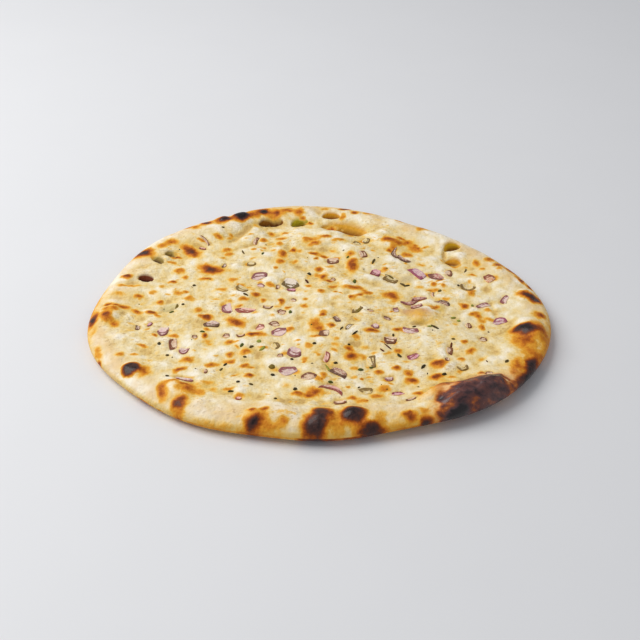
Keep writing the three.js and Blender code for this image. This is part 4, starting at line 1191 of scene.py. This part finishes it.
class KulchaStage(bpy.types.PropertyGroup):
    """Floor, lights and camera."""

    floor: colour_setting("Floor", "Colour of the floor", 226, 226, 226)
    surround: colour_setting("Surround", "Colour of the light from all round", 246, 248, 255)
    fill: bpy.props.FloatProperty(
        name="Fill light", description="Strength of the light from all round", default=0.44)
    key_power: bpy.props.FloatProperty(
        name="Key light", description="Power of the main light in watts", default=8.6)
    key_size: length_setting("Key light size", "Width of the main light", 0.8)
    camera_height: length_setting("Camera height", "Height above the surface", 291.5 * MM)
    camera_back: length_setting("Camera distance", "Distance in front of the middle", 352.9 * MM)
    camera_side: length_setting("Camera offset", "Distance to the right of the middle", 0.2 * MM)
    camera_pitch: bpy.props.FloatProperty(
        name="Camera pitch", description="How far the camera looks down", subtype="ANGLE",
        default=math.radians(40))
    lens: bpy.props.FloatProperty(name="Lens", description="Focal length in millimetres", default=50.6)


# Operators


class KULCHA_OT_bread(bpy.types.Operator):
    """Makes the bread with its blisters, folds and browning."""

    bl_idname = "kulcha.bread"
    bl_label = "Bake the bread"

    def execute(self, context):
        settings = context.scene.kulcha_dough
        mesh = bread_mesh(Dough(settings), settings)
        piece = place_piece("kulcha_crust", mesh, crust_material(settings))
        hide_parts(NODE)
        return {"FINISHED"}


class KULCHA_OT_onion(bpy.types.Operator):
    """Presses the chopped onion into the top."""

    bl_idname = "kulcha.onion"
    bl_label = "Press in the onion"

    def execute(self, context):
        mesh = onion_mesh(Dough(context.scene.kulcha_dough))
        piece = place_piece("kulcha_onion", mesh, onion_material())
        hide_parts(NODE)
        return {"FINISHED"}


class KULCHA_OT_herbs(bpy.types.Operator):
    """Scatters the herb flecks over the top."""

    bl_idname = "kulcha.herbs"
    bl_label = "Scatter the herbs"

    def execute(self, context):
        mesh = herb_mesh(Dough(context.scene.kulcha_dough))
        place_piece("kulcha_herbs", mesh, herb_material())
        return {"FINISHED"}


class KULCHA_OT_stage(bpy.types.Operator):
    """Sets the pale floor, the soft lights and the camera."""

    bl_idname = "kulcha.stage"
    bl_label = "Set the stage"

    def execute(self, context):
        settings = context.scene.kulcha_stage
        self.lay_floor(context.scene, settings)
        self.light(context.scene, settings)
        self.set_camera(context.scene, settings)
        return {"FINISHED"}

    def lay_floor(self, scene, settings):
        corners = [(side * FLOOR_HALF, back * FLOOR_HALF, -FLOOR_DROP)
                   for side, back in ((-1, -1), (1, -1), (1, 1), (-1, 1))]
        mesh = bpy.data.meshes.new("pale_floor")
        mesh.from_pydata(corners, [], [(0, 1, 2, 3)])
        mesh.materials.append(floor_material(settings))
        floor = bpy.data.objects.new("pale_floor", mesh)
        scene.collection.objects.link(floor)

    def light(self, scene, settings):
        world = bpy.data.worlds.new("soft_surround")
        world.use_nodes = True
        surround = world.node_tree.nodes["Background"]
        surround.inputs["Color"].default_value = (*settings.surround, 1)
        surround.inputs["Strength"].default_value = settings.fill
        scene.world = world
        scene.view_settings.view_transform = "Standard"
        lamp = bpy.data.lights.new("key", "AREA")
        lamp.size = settings.key_size
        lamp.energy = settings.key_power
        lit = bpy.data.objects.new("key", lamp)
        lit.location = KEY_PLACE
        aim = -lit.location.copy()
        lit.rotation_euler = aim.to_track_quat("-Z", "Y").to_euler()
        scene.collection.objects.link(lit)

    def set_camera(self, scene, settings):
        camera = bpy.data.objects.new("camera", bpy.data.cameras.new("camera"))
        camera.data.sensor_width = SENSOR_WIDTH
        camera.data.lens = settings.lens
        camera.data.clip_start = CLIP_START
        camera.location = (settings.camera_side, -settings.camera_back, settings.camera_height)
        camera.rotation_euler = (math.pi / 2 - settings.camera_pitch, 0, 0)
        scene.collection.objects.link(camera)
        scene.camera = camera


class KULCHA_PT_panel(bpy.types.Panel):
    """Lists the settings and the steps."""

    bl_idname = "KULCHA_PT_panel"
    bl_label = "Onion kulcha"
    bl_space_type = "VIEW_3D"
    bl_region_type = "UI"
    bl_category = "Kulcha"

    def draw(self, context):
        for group in (context.scene.kulcha_dough, context.scene.kulcha_stage):
            box = self.layout.box()
            for name in group.bl_rna.properties.keys():
                if name not in {"rna_type", "name"}:
                    box.prop(group, name)
        for step in STEPS:
            self.layout.operator(step.bl_idname)


STEPS = (KULCHA_OT_bread, KULCHA_OT_onion, KULCHA_OT_herbs, KULCHA_OT_stage)
CLASSES = (KulchaDough, KulchaStage, *STEPS, KULCHA_PT_panel)


def register():
    for cls in CLASSES:
        bpy.utils.register_class(cls)
    bpy.types.Scene.kulcha_dough = bpy.props.PointerProperty(type=KulchaDough)
    bpy.types.Scene.kulcha_stage = bpy.props.PointerProperty(type=KulchaStage)


def unregister():
    del bpy.types.Scene.kulcha_stage
    del bpy.types.Scene.kulcha_dough
    for cls in reversed(CLASSES):
        bpy.utils.unregister_class(cls)


def main():
    register()
    bpy.ops.kulcha.bread()
    bpy.ops.kulcha.onion()
    bpy.ops.kulcha.herbs()
    bpy.ops.kulcha.stage()


if __name__ == "__main__":
    main()
